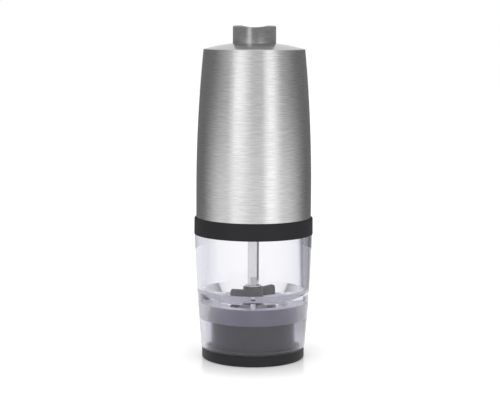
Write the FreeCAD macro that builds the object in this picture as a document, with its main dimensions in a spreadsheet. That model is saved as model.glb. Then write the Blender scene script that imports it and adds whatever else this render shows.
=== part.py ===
import FreeCAD
import Part
import Sketcher
import math
import operator
import os

# Battery pepper mill. Millimetres, +Z up, origin at the middle of the foot on the table.

DIMENSIONS = (
    # Foot ring
    ("foot_inset", 0.3, "inset of the foot ring from the jar's lower edge"),
    ("foot_height", 5.7, "height of the foot ring's outside"),
    ("foot_wall", 3.6, "thickness of the foot ring"),
    ("foot_round", 0.8, "rounding of the foot ring's lower edge"),
    ("spigot_height", 1.5, "upstand of the foot ring inside the skirt"),
    # Clear jar
    ("jar_base_radius", 26.3, "outside radius of the jar at its lower edge"),
    ("jar_overhang", 0.7, "overhang of the jar's shoulder past the shell's foot"),
    ("jar_height", 57.8, "height of the jar from the foot ring to its shoulder"),
    ("jar_side_curve", 760.0, "radius of the jar's slightly bulged side"),
    ("jar_wall", 3.6, "wall of the jar at its shoulder"),
    ("neck_height", 7.0, "height of the neck above the shoulder"),
    ("neck_wall", 1.7, "wall of the neck"),
    ("skirt_wall", 2.3, "wall of the skirt round the grinder"),
    ("skirt_shoulder", 7.8, "height of the thick zone under the floor"),
    ("grinder_room", 22.6, "height of the skirt under the floor"),
    ("inlet_radius", 11.8, "radius of the hole in the floor"),
    ("floor_thickness", 1.6, "thickness of the floor at its hole"),
    ("funnel_rise", 5.9, "rise of the floor from its hole to the wall"),
    # Collar and seal
    ("collar_overhang", 1.0, "overhang of the collar past the shell's foot"),
    ("collar_taper", 0.1, "loss of radius of the collar towards its top"),
    ("collar_height", 8.5, "height of the collar's outside"),
    ("collar_edge", 0.6, "bevel of the collar's top edge"),
    ("collar_plate", 2.0, "thickness of the plate that closes the collar"),
    ("seal_thickness", 1.0, "thickness of the seal on the jar's rim"),
    ("register_height", 6.0, "height of the ring that the shell slides over"),
    ("register_wall", 1.6, "wall of the register ring"),
    # Steel shell
    ("shell_radius", 29.0, "outside radius of the shell at its foot"),
    ("shell_top_radius", 25.4, "outside radius of the shell at its top edge"),
    ("shell_height", 84.0, "height of the shell to its top edge"),
    ("shell_straight", 12.5, "height of the straight part of the shell's side"),
    ("shell_wall", 0.8, "wall of the shell"),
    ("shell_edge", 0.3, "rounding of the shell's top edge"),
    ("dome_rise", 3.5, "rise of the dome over the top edge"),
    # Button and switch
    ("button_radius", 10.8, "outside radius of the button"),
    ("button_rise", 8.2, "height of the button's rim over the crown of the dome"),
    ("button_wall", 1.1, "wall of the button's cap"),
    ("button_edge", 1.0, "rounding of the button's rim"),
    ("dish_depth", 0.9, "depth of the dish in the button's top"),
    ("button_travel", 3.0, "travel of the button"),
    ("plunger_plate", 3.0, "thickness of the plunger's plate"),
    ("guide_radius", 6.5, "bore of the plunger's guide"),
    ("guide_wall", 1.3, "wall of the plunger's guide"),
    ("guide_lip", 0.5, "width of the lip that keeps the plunger in"),
    ("lip_height", 1.8, "height of that lip"),
    ("plunger_flange", 3.4, "height of the plunger's flange under the lip"),
    ("strip_thickness", 0.3, "thickness of the switch strips"),
    ("strip_width", 3.0, "width of the switch strips"),
    ("bridge_thickness", 0.4, "thickness of the contact bridge"),
    ("button_wire", 0.6, "wire of the button's spring"),
    ("button_coil_radius", 3.3, "mean radius of the button's spring"),
    ("button_turns", 6.0, "turns of the button's spring"),
    # Fits
    ("running_fit", 0.06, "clearance of a shaft in its bearing, on the radius"),
    ("seat_fit", 0.02, "clearance of pieces that stay together"),
    ("clear_gap", 0.3, "clearance of pieces that pass each other"),
    # Grinder
    ("grinder_radius", 21.0, "outside radius of the grinder housing"),
    ("grinder_wall", 1.5, "wall of the grinder housing"),
    ("grinder_lift", 1.0, "height of the housing's lower rim over the table"),
    ("burr_ring_radius", 15.5, "outside radius of the burr ring"),
    ("burr_ledge", 1.3, "thickness of the ledge under the burr ring"),
    ("ledge_width", 2.0, "width of that ledge"),
    ("sleeve_wall", 1.4, "wall of the sleeve round the burr ring"),
    ("burr_base_radius", 12.3, "tip radius of the inner burr at its lower end"),
    ("burr_throat_radius", 11.3, "tip radius of the inner burr at its throat"),
    ("burr_top_radius", 6.0, "tip radius of the inner burr at its top"),
    ("burr_fine_height", 3.5, "height of the fine teeth"),
    ("burr_height", 12.0, "height of the inner burr"),
    ("burr_gap", 0.5, "gap between the burrs at the coarsest setting"),
    ("burr_lift", 1.0, "lift of the inner burr to the finest setting"),
    ("fine_teeth", 36, "number of fine teeth"),
    ("fine_depth", 0.7, "depth of the fine teeth"),
    ("coarse_teeth", 9, "number of coarse teeth"),
    ("coarse_depth", 1.5, "depth of the coarse teeth"),
    ("burr_twist", 24.0, "twist of the teeth in degrees"),
    ("ring_mouth_radius", 13.2, "root radius of the burr ring's mouth"),
    ("boss_radius", 8.2, "radius of the middle boss of the grinder housing"),
    ("boss_bottom", 8.3, "height of the boss over the table"),
    ("boss_height", 7.0, "height of the boss"),
    ("boss_floor", 2.0, "thickness of the boss under the adjusting screw"),
    ("spoke_width", 4.0, "width of the three spokes"),
    ("spoke_height", 3.5, "height of the three spokes"),
    ("column_ring", 17.9, "distance of the housing screws from the axis"),
    ("column_radius", 2.3, "radius of the screw columns"),
    ("column_height", 12.5, "height of the screw columns"),
    ("lifter_flats", 11.3, "width of the hexagonal burr lifter across flats"),
    ("lifter_height", 5.9, "height of the burr lifter"),
    ("post_radius", 3.6, "radius of the adjusting screw's threaded post"),
    ("stem_radius", 3.0, "radius of the adjusting screw's stem"),
    ("flange_radius", 4.6, "radius of the adjusting screw's flange"),
    ("flange_height", 1.2, "height of the adjusting screw's flange"),
    ("knob_radius", 9.0, "radius of the adjusting knob"),
    ("knob_height", 5.2, "height of the adjusting knob"),
    ("knob_lift", 0.9, "height of the knob over the table"),
    ("knob_web", 1.8, "thickness of the knob under the stem"),
    ("knob_grips", 12, "number of grip hollows in the knob"),
    ("grip_radius", 1.4, "radius of the grip hollows"),
    ("pivot_radius", 1.75, "radius of the pivot at the foot of the shaft"),
    ("pivot_depth", 3.4, "depth of the pivot in the post"),
    # Screws
    ("screw_radius", 1.05, "radius of the screws"),
    ("screw_hole", 1.15, "radius of the holes for the screws"),
    ("head_radius", 1.95, "radius of the screw heads"),
    ("head_height", 1.5, "height of the screw heads"),
    ("screw_bite", 3.0, "length of a screw in its thread"),
    # Rotor
    ("shaft_width", 4.7, "width of the square shaft"),
    ("shaft_bevel", 0.35, "bevel of the shaft's edges"),
    ("shaft_angle", -15.5, "turn of the shaft at rest in degrees"),
    ("shaft_reach", 5.5, "length of the shaft in the socket"),
    ("hub_radius", 5.1, "radius of the paddle's hub"),
    ("hub_height", 6.5, "height of the paddle's hub"),
    ("blade_foot", 1.4, "height of the blades over the hub's lower end"),
    ("blade_height", 5.1, "height of the paddle's blades"),
    ("blade_thickness", 2.2, "thickness of the paddle's blades"),
    ("blade_curve", 14.0, "radius of the blades' curve"),
    ("blade_offset", 3.9, "distance of a blade's root from the axis"),
    ("blade_sweep", 64.0, "sweep of the blades' curve in degrees"),
    ("blade_round", 2.0, "rounding of the blades' upper corner"),
    ("blade_dish", 1.6, "fall of the blades' upper edge from its end to the axis"),
    ("paddle_radius", 13.8, "reach of the paddle"),
    ("clip_radius", 4.0, "radius of the spring clip"),
    ("clip_thickness", 0.6, "thickness of the spring clip"),
    ("clip_slot", 3.4, "width of the clip's slot"),
    ("tongue_width", 3.2, "width of the clip's upright tongue"),
    ("tongue_height", 4.6, "height of that tongue"),
    ("groove_radius", 2.0, "radius of the shaft in the clip's groove"),
    ("burr_wire", 0.6, "wire of the burr's spring"),
    ("burr_coil_radius", 3.7, "mean radius of the burr's spring"),
    ("burr_coil_length", 4.9, "length of the burr's spring"),
    ("burr_turns", 3.0, "turns of the burr's spring"),
    # Gear train
    ("gear_module", 0.5, "module of the gears"),
    ("sun_teeth", 12, "teeth of the sun gears"),
    ("planet_teeth", 24, "teeth of the planet gears"),
    ("planet_count", 3, "planets in each stage"),
    ("pressure_angle", 25.0, "pressure angle of the gears in degrees"),
    ("addendum", 0.9, "addendum in modules"),
    ("dedendum", 1.2, "dedendum in modules"),
    ("backlash", 0.16, "play between meshing teeth"),
    ("slow_face", 5.2, "face width of the slow stage"),
    ("fast_face", 4.4, "face width of the fast stage"),
    ("carrier_radius", 12.2, "radius of the planet carriers"),
    ("carrier_thickness", 2.0, "thickness of the planet carriers"),
    ("pin_radius", 1.0, "radius of the planet pins"),
    ("socket_radius", 6.0, "radius of the output socket"),
    ("guide_pin", 1.2, "radius of the pin that guides the first carrier"),
    ("gearbox_wall", 2.4, "wall of the gearbox round the ring gear"),
    ("gearbox_floor", 2.0, "floor of the gearbox"),
    ("gearbox_head", 2.1, "room over the fast stage"),
    ("ear_ring", 20.2, "distance of the gearbox screws from the axis"),
    ("ear_radius", 2.8, "radius of the gearbox ears"),
    # Motor
    ("motor_plate", 2.0, "thickness of the motor plate"),
    ("motor_radius", 12.0, "radius of the motor"),
    ("motor_length", 28.5, "length of the motor can"),
    ("motor_cap", 2.5, "height of the motor's end cap"),
    ("motor_boss", 3.0, "radius of the motor's front boss"),
    ("motor_boss_height", 1.7, "height of the motor's front boss"),
    ("motor_shaft_radius", 1.0, "radius of the motor shaft"),
    ("motor_shaft_seat", 5.0, "length of the motor shaft in the can"),
    ("motor_screw_ring", 8.0, "distance of the motor screws from the axis"),
    ("terminal_ring", 7.15, "distance of the motor terminals from the axis"),
    ("terminal_height", 3.5, "height of the motor terminals"),
    ("terminal_width", 2.4, "width of the motor terminals"),
    ("terminal_thickness", 0.6, "thickness of the motor terminals"),
    ("lead_radius", 0.65, "radius of the motor leads"),
    # Chassis and cells
    ("deck_lift", 1.8, "height of the lower deck over the motor plate"),
    ("deck_thickness", 2.0, "thickness of the decks"),
    ("deck_radius", 24.6, "radius of the decks"),
    ("tube_wall", 1.2, "wall of the motor's tube"),
    ("cradle_wall", 1.0, "wall of the cell cradles"),
    ("cradle_reach", 1.2, "reach of the cradles past the cells' middles"),
    ("pillar_radius", 2.4, "radius of the chassis pillars"),
    ("pillar_ring", 22.4, "distance of the chassis pillars from the axis"),
    ("cell_radius", 5.25, "radius of a cell"),
    ("head_room", 7.4, "room from the upper deck to the shell's top edge"),
    ("cell_count", 6, "number of cells"),
    ("cell_gap", 0.25, "clearance round a cell"),
    ("nub_radius", 1.9, "radius of a cell's nub"),
    ("nub_height", 0.9, "height of a cell's nub"),
    ("plate_thickness", 0.4, "thickness of a cell's contact plate"),
    ("plate_radius", 4.0, "radius of a cell's contact plate"),
    ("cell_spring_length", 3.2, "length of a cell's contact spring"),
    ("cell_wire", 0.5, "wire of a cell's contact spring"),
    ("cell_coil_radius", 2.8, "mean radius of a cell's contact spring"),
    ("cell_turns", 2.5, "turns of a cell's contact spring"),
)

OPERATORS = {"+": operator.add, "-": operator.sub, "*": operator.mul, "/": operator.truediv}
BINDING = {"+": 1, "-": 1, "*": 2, "/": 2}


class Size:
    """A number together with the formula on the sheet that gives it."""

    def __init__(self, value, formula, strength=3):
        self.value = float(value)
        self.formula = formula
        self.strength = strength

    def __add__(self, other):
        return combined(self, "+", other)

    def __radd__(self, other):
        return combined(other, "+", self)

    def __sub__(self, other):
        return combined(self, "-", other)

    def __rsub__(self, other):
        return combined(other, "-", self)

    def __mul__(self, other):
        return combined(self, "*", other)

    def __rmul__(self, other):
        return combined(other, "*", self)

    def __truediv__(self, other):
        return combined(self, "/", other)

    def __neg__(self):
        return combined(0, "-", self)


def as_size(number):
    if isinstance(number, Size):
        return number
    return Size(number, repr(float(number)))


def combined(left, sign, right):
    left = as_size(left)
    right = as_size(right)
    binding = BINDING[sign]
    first = left.formula if left.strength >= binding else f"({left.formula})"
    second = right.formula if right.strength > binding else f"({right.formula})"
    return Size(OPERATORS[sign](left.value, right.value), f"{first} {sign} {second}", binding)


def root(number):
    number = as_size(number)
    return Size(math.sqrt(number.value), f"sqrt({number.formula})")


def cosine(degrees):
    degrees = as_size(degrees)
    return Size(math.cos(math.radians(degrees.value)), f"cos(({degrees.formula}) * 1 deg)")


def sine(degrees):
    degrees = as_size(degrees)
    return Size(math.sin(math.radians(degrees.value)), f"sin(({degrees.formula}) * 1 deg)")


class Sizes:
    """The driving sizes as attributes."""


doc = FreeCAD.newDocument("PepperMill")
sheet = doc.addObject("Spreadsheet::Sheet", "Sheet")
derived = doc.addObject("App::VarSet", "Derived")
S = Sizes()
D = Sizes()
PARTS = {}


def fill_sheet():
    for row, (alias, value, meaning) in enumerate(DIMENSIONS, start=1):
        sheet.set(f"A{row}", meaning)
        sheet.set(f"B{row}", str(value))
        sheet.setAlias(f"B{row}", alias)
        setattr(S, alias, Size(value, f"Sheet.{alias}"))


def derive(name, size):
    """Keeps a worked-out size under a name of its own, bound to the sheet."""
    size = as_size(size)
    derived.addProperty("App::PropertyFloat", name)
    derived.setExpression(name, size.formula)
    setattr(D, name, Size(size.value, f"Derived.{name}"))


def derive_levels():
    # Radii that keep together
    derive("collar_radius", S.shell_radius + S.collar_overhang)
    derive("jar_top_radius", S.shell_radius + S.jar_overhang)
    derive("jar_bore_radius", D.jar_top_radius - S.jar_wall)
    derive("foot_radius", S.jar_base_radius - S.foot_inset)
    # Jar, from the table up
    derive("floor_under", S.foot_height + S.grinder_room)
    derive("floor_lip", D.floor_under + S.floor_thickness)
    derive("floor_wall_top", D.floor_lip + S.funnel_rise)
    derive("shoulder", S.foot_height + S.jar_height)
    derive("neck_top", D.shoulder + S.neck_height)
    derive("neck_radius", D.jar_bore_radius + S.neck_wall)
    derive("skirt_radius", S.jar_base_radius - S.skirt_wall)
    # Collar and shell
    derive("collar_bore", D.neck_radius + S.clear_gap)
    derive("collar_top", D.shoulder + S.collar_height)
    derive("plate_under", D.neck_top + S.seal_thickness)
    derive("plate_top", D.plate_under + S.collar_plate)
    derive("shell_bore", S.shell_radius - S.shell_wall)
    derive("register_radius", D.shell_bore - S.clear_gap)
    derive("shell_edge_height", D.collar_top + S.shell_height)
    derive("shell_bend", D.collar_top + S.shell_straight)
    derive("crown", D.shell_edge_height + S.dome_rise)
    derive("button_hole", S.button_radius + S.clear_gap)
    derive("button_top", D.crown + S.button_rise)
    # Grinder
    derive("grinder_bore", S.grinder_radius - S.grinder_wall)
    derive("ledge_top", S.boss_bottom + S.boss_height + S.burr_ledge + 1.0)
    derive("boss_seat", S.boss_bottom + S.boss_floor)
    derive("flange_top", D.boss_seat + S.flange_height)
    derive("lifter_bottom", D.flange_top + 0.9)
    derive("lifter_top", D.lifter_bottom + S.lifter_height)
    derive("post_top", D.lifter_top - S.burr_lift)
    derive("burr_throat", D.lifter_top + S.burr_fine_height)
    derive("burr_top", D.lifter_top + S.burr_height)
    derive("column_bottom", D.floor_under - S.column_height)
    derive("stem_bottom", S.knob_lift + S.knob_web)
    # Rotor
    derive("hub_top", D.burr_top + S.hub_height)
    derive("clip_bottom", D.hub_top + S.clear_gap)
    derive("hub_pocket", D.clip_bottom - S.burr_coil_length)
    derive("shaft_foot", D.lifter_top + 0.7)
    derive("shaft_top", D.plate_under + S.shaft_reach)
    # Gear train
    derive("sun_pitch", S.gear_module * S.sun_teeth / 2)
    derive("planet_pitch", S.gear_module * S.planet_teeth / 2)
    derive("orbit", D.sun_pitch + D.planet_pitch)
    derive("ring_pitch", D.orbit + D.planet_pitch)
    derive("ring_root", D.ring_pitch + S.dedendum * S.gear_module)
    derive("gearbox_radius", D.ring_root + S.gearbox_wall)
    derive("gear_floor", D.plate_top + S.gearbox_floor)
    derive("output_disc", D.gear_floor + S.clear_gap)
    derive("slow_bottom", D.output_disc + S.carrier_thickness + S.clear_gap)
    derive("slow_top", D.slow_bottom + S.slow_face)
    derive("first_disc", D.slow_top + 2 * S.clear_gap)
    derive("fast_bottom", D.first_disc + S.carrier_thickness + S.clear_gap)
    derive("fast_top", D.fast_bottom + S.fast_face)
    derive("motor_plate_under", D.fast_top + S.gearbox_head)
    derive("motor_front", D.motor_plate_under + S.motor_plate)
    derive("motor_back", D.motor_front + S.motor_length)
    derive("cap_back", D.motor_back + S.motor_cap)
    # Chassis and cells
    derive("tube_bore", S.motor_radius + S.clear_gap)
    derive("tube_radius", D.tube_bore + S.tube_wall)
    derive("cell_ring", D.tube_radius + S.cell_gap + S.cell_radius)
    derive("lower_deck", D.motor_front + S.deck_lift)
    derive("cell_floor", D.lower_deck + S.deck_thickness)
    derive("deck_top", D.shell_edge_height - S.head_room)
    derive("upper_deck", D.deck_top - S.deck_thickness)
    derive("cell_room", D.upper_deck - D.cell_floor)
    derive("cell_length", D.cell_room - S.cell_spring_length - S.plate_thickness)
    # Switch
    derive("bridge_bottom", D.deck_top + S.strip_thickness + S.button_travel + S.seat_fit)
    derive("plunger_foot", D.bridge_bottom + S.bridge_thickness)
    derive("flange_head", D.plunger_foot + S.plunger_flange)
    derive("lip_bottom", D.flange_head + S.seat_fit)
    derive("guide_top", D.lip_bottom + S.lip_height)
    derive("cap_under", D.button_top - S.dish_depth - S.button_wall)
    derive("cap_bore", S.button_radius - S.button_wall)
    derive("plate_foot", D.cap_under - S.plunger_plate)
    derive("cap_foot", D.deck_top + S.button_travel + 1.0)
    derive("spring_room", D.plate_foot - S.plunger_plate / 3)


class Bend:
    """An arc between two corners of an outline; side is +1 with its middle on the left hand."""

    def __init__(self, radius, side):
        self.radius = as_size(radius)
        self.side = side


def axis_plane(body, role):
    return [feature for feature in body.Origin.OriginFeatures if feature.Role == role][0]


def arc_between(start, end, bend):
    """The arc from start to end, and True if it runs backwards in the sketch."""
    chord = end - start
    middle = (start + end) * 0.5
    normal = FreeCAD.Vector(-chord.y, chord.x, 0).normalize()
    radius = bend.radius.value
    reach = math.sqrt(max(radius * radius - chord.Length ** 2 / 4, 0.0))
    centre = middle + normal * (reach * bend.side)
    first, last = (start, end) if bend.side > 0 else (end, start)
    angles = [math.atan2(point.y - centre.y, point.x - centre.x) for point in (first, last)]
    circle = Part.Circle(centre, FreeCAD.Vector(0, 0, 1), radius)
    return Part.ArcOfCircle(circle, *angles), bend.side < 0


def fix_value(sketch, constraint, size):
    index = sketch.addConstraint(constraint)
    sketch.setExpression(f"Constraints[{index}]", size.formula)


def fix_corner(sketch, edge, end, corner):
    """Binds one corner's two coordinates to the sheet; a plain 0 lies on the axis."""
    for kind, axis, size in (("DistanceX", -2, corner[0]), ("DistanceY", -1, corner[1])):
        if size.formula == "0.0":
            sketch.addConstraint(Sketcher.Constraint("PointOnObject", edge, end, axis))
        else:
            fix_value(sketch, Sketcher.Constraint(kind, edge, end, size.value), size)


def draw_outline(sketch, outline):
    """Draws a closed outline of corners, with a Bend between two corners for an arc."""
    corners = []
    bends = {}
    for item in outline:
        if isinstance(item, Bend):
            bends[len(corners) - 1] = item
        else:
            corners.append((as_size(item[0]), as_size(item[1])))
    points = [FreeCAD.Vector(x.value, y.value, 0) for x, y in corners]
    edges = []
    for number, start in enumerate(points):
        end = points[(number + 1) % len(points)]
        backwards = False
        shape = Part.LineSegment(start, end)
        if number in bends:
            shape, backwards = arc_between(start, end, bends[number])
        edges.append((sketch.addGeometry(shape), 2 if backwards else 1, 1 if backwards else 2))
    for number, (edge, _, tail) in enumerate(edges):
        following, head, _ = edges[(number + 1) % len(edges)]
        sketch.addConstraint(Sketcher.Constraint("Coincident", edge, tail, following, head))
    for number, (edge, head, _) in enumerate(edges):
        fix_corner(sketch, edge, head, corners[number])
        if number in bends:
            radius = bends[number].radius
            fix_value(sketch, Sketcher.Constraint("Radius", edge, radius.value), radius)


def draw_circle(sketch, radius, x=0, y=0):
    radius = as_size(radius)
    centre = (as_size(x), as_size(y))
    place = FreeCAD.Vector(centre[0].value, centre[1].value, 0)
    edge = sketch.addGeometry(Part.Circle(place, FreeCAD.Vector(0, 0, 1), radius.value))
    fix_value(sketch, Sketcher.Constraint("Radius", edge, radius.value), radius)
    fix_corner(sketch, edge, 3, centre)


def new_body(name):
    return doc.addObject("PartDesign::Body", name)


def new_sketch(body, role, height=0):
    """A sketch on one of the body's own planes, lifted along the plane's normal."""
    sketch = body.newObject("Sketcher::SketchObject", body.Name + "Outline")
    sketch.AttachmentSupport = [(axis_plane(body, role), "")]
    sketch.MapMode = "FlatFace"
    height = as_size(height)
    if height.formula != "0.0":
        sketch.AttachmentOffset = FreeCAD.Placement(FreeCAD.Vector(0, 0, height.value), FreeCAD.Rotation())
        sketch.setExpression("AttachmentOffset.Base.z", height.formula)
    return sketch


def turn_outline(body, outline, kind="PartDesign::Revolution"):
    """Turns an outline of radius and height round the axis."""
    sketch = new_sketch(body, "XZ_Plane")
    draw_outline(sketch, outline)
    feature = body.newObject(kind, body.Name + "Turned")
    feature.Profile = sketch
    feature.ReferenceAxis = (sketch, ["V_Axis"])
    feature.Angle = 360
    return feature


def turned(name, outline):
    body = new_body(name)
    turn_outline(body, outline)
    return body


def pad(body, sketch, length):
    feature = body.newObject("PartDesign::Pad", body.Name + "Pad")
    feature.Profile = sketch
    feature.setExpression("Length", as_size(length).formula)
    return feature


def pocket_up(body, sketch, length):
    """Cuts upwards from the sketch's plane."""
    feature = body.newObject("PartDesign::Pocket", body.Name + "Pocket")
    feature.Profile = sketch
    feature.Reversed = True
    feature.setExpression("Length", as_size(length).formula)
    return feature


def repeat_round(body, feature, count):
    pattern = body.newObject("PartDesign::PolarPattern", body.Name + "Pattern")
    pattern.Originals = [feature]
    pattern.Axis = (feature.Profile[0], ["N_Axis"])
    pattern.Angle = 360
    pattern.setExpression("Occurrences", count.formula)
    body.Tip = pattern
    return pattern


def round_rim(body, feature, radius, height, rounding):
    """Rounds the circular edge at that radius and height."""
    doc.recompute()
    for number, edge in enumerate(feature.Shape.Edges, start=1):
        box = edge.BoundBox
        at_height = abs(box.ZMin - height.value) < 0.01 and abs(box.ZMax - height.value) < 0.01
        if at_height and abs(box.XMax - radius.value) < 0.01:
            fillet = body.newObject("PartDesign::Fillet", body.Name + "Rim")
            fillet.Base = (feature, [f"Edge{number}"])
            fillet.setExpression("Radius", rounding.formula)
            return fillet
    raise ValueError("no rim found on " + body.Name)


def place(thing, at, angle=0):
    angle = as_size(angle)
    position = [as_size(value) for value in at]
    turn = FreeCAD.Rotation(FreeCAD.Vector(0, 0, 1), angle.value)
    thing.Placement = FreeCAD.Placement(FreeCAD.Vector(*[size.value for size in position]), turn)
    for axis, size in zip("xyz", position):
        thing.setExpression(f"Placement.Base.{axis}", size.formula)
    return thing


def cylinder(radius, height, at):
    thing = doc.addObject("Part::Cylinder", "Cylinder")
    thing.setExpression("Radius", as_size(radius).formula)
    thing.setExpression("Height", as_size(height).formula)
    return place(thing, at)


def cone(lower, upper, height, at):
    thing = doc.addObject("Part::Cone", "Cone")
    thing.setExpression("Radius1", as_size(lower).formula)
    thing.setExpression("Radius2", as_size(upper).formula)
    thing.setExpression("Height", as_size(height).formula)
    return place(thing, at)


def box(length, width, height, at, angle=0):
    thing = doc.addObject("Part::Box", "Box")
    for name, size in (("Length", length), ("Width", width), ("Height", height)):
        thing.setExpression(name, as_size(size).formula)
    return place(thing, at, angle)


def prism(sides, flats, height, at):
    thing = doc.addObject("Part::Prism", "Prism")
    thing.Polygon = sides
    thing.setExpression("Circumradius", (as_size(flats) / (2 * cosine(180 / sides))).formula)
    thing.setExpression("Height", as_size(height).formula)
    return place(thing, at)


def fused(*pieces):
    if len(pieces) == 1:
        return pieces[0]
    thing = doc.addObject("Part::MultiFuse", "Fusion")
    thing.Shapes = list(pieces)
    thing.Refine = True
    return thing


def cut(base, *tools):
    thing = doc.addObject("Part::Cut", "Cut")
    thing.Base = base
    thing.Tool = fused(*tools)
    thing.Refine = True
    return thing


def common(first, second):
    thing = doc.addObject("Part::MultiCommon", "Common")
    thing.Shapes = [first, second]
    return thing


def grouped(pieces):
    thing = doc.addObject("Part::Compound", "Group")
    thing.Links = list(pieces)
    return thing


def formed(name, shape):
    """A sub-part whose shape a formula gives."""
    thing = doc.addObject("Part::Feature", name)
    thing.Shape = shape
    return thing


def keep(label, thing):
    thing.Label = label
    PARTS[label] = thing


def ring_places(distance, count, first_angle, height):
    """Places evenly round the axis."""
    angles = [first_angle + 360.0 * step / count for step in range(count)]
    return [(distance * cosine(angle), distance * sine(angle), height) for angle in angles]


def vector(radius, degrees, height):
    turn = math.radians(degrees)
    return FreeCAD.Vector(radius * math.cos(turn), radius * math.sin(turn), height)


# Springs


def helix_point(radius, start, rise, turn):
    return vector(radius, 360.0 * turn, start + rise * turn)


def helix_heading(radius, rise, turn):
    angle = 2 * math.pi * turn
    speed = 2 * math.pi * radius
    return FreeCAD.Vector(-speed * math.sin(angle), speed * math.cos(angle), rise).normalize()


def arc_from(start, heading, end):
    """The arc that leaves start along heading and ends at end."""
    chord = end - start
    across = chord - heading * chord.dot(heading)
    radius = chord.dot(chord) / (2 * across.Length)
    side = across.normalize()
    centre = start + side * radius
    half = (start + end) * 0.5 - centre
    middle = centre + half.normalize() * radius
    return Part.Arc(start, middle, end).toShape()


def biarc(start, heading, end, last_heading):
    """Two arcs that meet smoothly and carry the heading from one point to the next."""
    chord = end - start
    both = heading + last_heading
    factor = 2 * (1 - heading.dot(last_heading))
    reach = chord.dot(both)
    length = (math.sqrt(reach * reach + factor * chord.dot(chord)) - reach) / factor
    joint = (start + heading * length + end - last_heading * length) * 0.5
    return [arc_from(start, heading, joint), arc_from(end, last_heading * -1, joint)]


def coil(name, radius, wire, bottom, top, turns, centre=(0.0, 0.0)):
    """A spring of one unbroken wire between two heights."""
    rise = (top - bottom - wire) / turns
    start = bottom + wire / 2
    quarters = int(round(turns * 4))
    edges = []
    for quarter in range(quarters):
        turn, following = quarter / 4.0, (quarter + 1) / 4.0
        edges += biarc(
            helix_point(radius, start, rise, turn), helix_heading(radius, rise, turn),
            helix_point(radius, start, rise, following), helix_heading(radius, rise, following))
    path = Part.Wire(Part.__sortEdges__(edges))
    section = Part.Circle(helix_point(radius, start, rise, 0), helix_heading(radius, rise, 0), wire / 2)
    shell = Part.BRepOffsetAPI.MakePipeShell(path)
    shell.add(Part.Wire([section.toShape()]))
    shell.build()
    shell.makeSolid()
    solid = shell.shape()
    solid.translate(FreeCAD.Vector(centre[0], centre[1], 0))
    report_gap(name, radius, start, rise, turns, wire)
    return solid


def report_gap(name, radius, start, rise, turns, wire):
    """Prints the least gap of a coil to itself, measured on points at least half a turn apart."""
    steps = 24
    points = [helix_point(radius, start, rise, step / steps) for step in range(int(turns * steps) + 1)]
    gaps = [
        (second - first).Length - wire
        for number, first in enumerate(points) for second in points[number + steps // 2:]]
    print(f"{name}: least gap to itself {min(gaps):.2f} mm")


# Gears and burrs


def involute_point(base, radius):
    """How far, in radians, an involute has run round at that radius."""
    if radius <= base:
        return 0.0
    angle = math.acos(base / radius)
    return math.tan(angle) - angle


def gear_outline(teeth, tip, foot, thickness, first_angle, height):
    """The wire of a gear with a tooth in the middle of first_angle."""
    pitch = S.gear_module.value * teeth / 2
    base = pitch * math.cos(math.radians(S.pressure_angle.value))
    half = thickness / (2 * pitch) + involute_point(base, pitch)
    radii = [foot, max(base, foot + 0.02), (max(base, foot) + tip) / 2, tip]
    flank = [(radius, half - involute_point(base, radius)) for radius in radii]
    points = []
    for tooth in range(teeth):
        middle = first_angle + 360.0 * tooth / teeth
        rising = [vector(radius, middle - math.degrees(turn), height) for radius, turn in flank]
        falling = [vector(radius, middle + math.degrees(turn), height) for radius, turn in reversed(flank)]
        points += rising + falling
    return Part.Wire(Part.makePolygon(points + points[:1]))


def gear(teeth, bore, bottom, height, first_angle=0.0, centre=(0.0, 0.0)):
    """A plastic spur gear with a plain bore."""
    size = S.gear_module.value
    pitch = size * teeth / 2
    tip = pitch + S.addendum.value * size
    foot = pitch - S.dedendum.value * size
    thickness = math.pi * size / 2 - S.backlash.value / 2
    rim = gear_outline(teeth, tip, foot, thickness, first_angle, bottom)
    solid = Part.Face(rim).extrude(FreeCAD.Vector(0, 0, height))
    if bore > 0:
        solid = solid.cut(Part.makeCylinder(bore, height, FreeCAD.Vector(0, 0, bottom)))
    solid.translate(FreeCAD.Vector(centre[0], centre[1], 0))
    return solid


def ring_space(bottom, height):
    """The room inside the ring gear, with a tooth of the ring at angle 0."""
    size = S.gear_module.value
    teeth = int(S.sun_teeth.value + 2 * S.planet_teeth.value)
    tip = D.ring_root.value
    foot = D.ring_pitch.value - S.addendum.value * size
    thickness = math.pi * size / 2 + S.backlash.value / 2
    rim = gear_outline(teeth, tip, foot, thickness, 180.0 / teeth, bottom)
    return Part.Face(rim).extrude(FreeCAD.Vector(0, 0, height))


def star(teeth, tip, depth, turn, height):
    """A star-shaped wire for burr teeth: a steep and a flat flank on each tooth."""
    points = []
    for tooth in range(teeth):
        middle = turn + 360.0 * tooth / teeth
        points.append(vector(tip, middle, height))
        points.append(vector(tip - depth, middle + 0.3 * 360.0 / teeth, height))
    return Part.Wire(Part.makePolygon(points + points[:1]))


def toothed_cone(teeth, depth, lower, upper, bottom, top, twist):
    """A cone with twisted teeth between two heights, lower and upper being its tip radii."""
    wires = [star(teeth, lower, depth, 0.0, bottom), star(teeth, upper, depth, twist, top)]
    return Part.makeLoft(wires, True, True)


# Jar, foot and grinder


def make_foot_ring():
    inside = D.foot_radius - S.foot_wall
    spigot = D.skirt_radius - S.seat_fit
    top = S.foot_height + S.spigot_height
    outline = [
        (inside, 0), (D.foot_radius - S.foot_round, 0), Bend(S.foot_round, 1),
        (D.foot_radius, S.foot_round), (D.foot_radius, S.foot_height),
        (spigot, S.foot_height), (spigot, top), (inside, top)]
    keep("foot_ring", turned("FootRing", outline))


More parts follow.
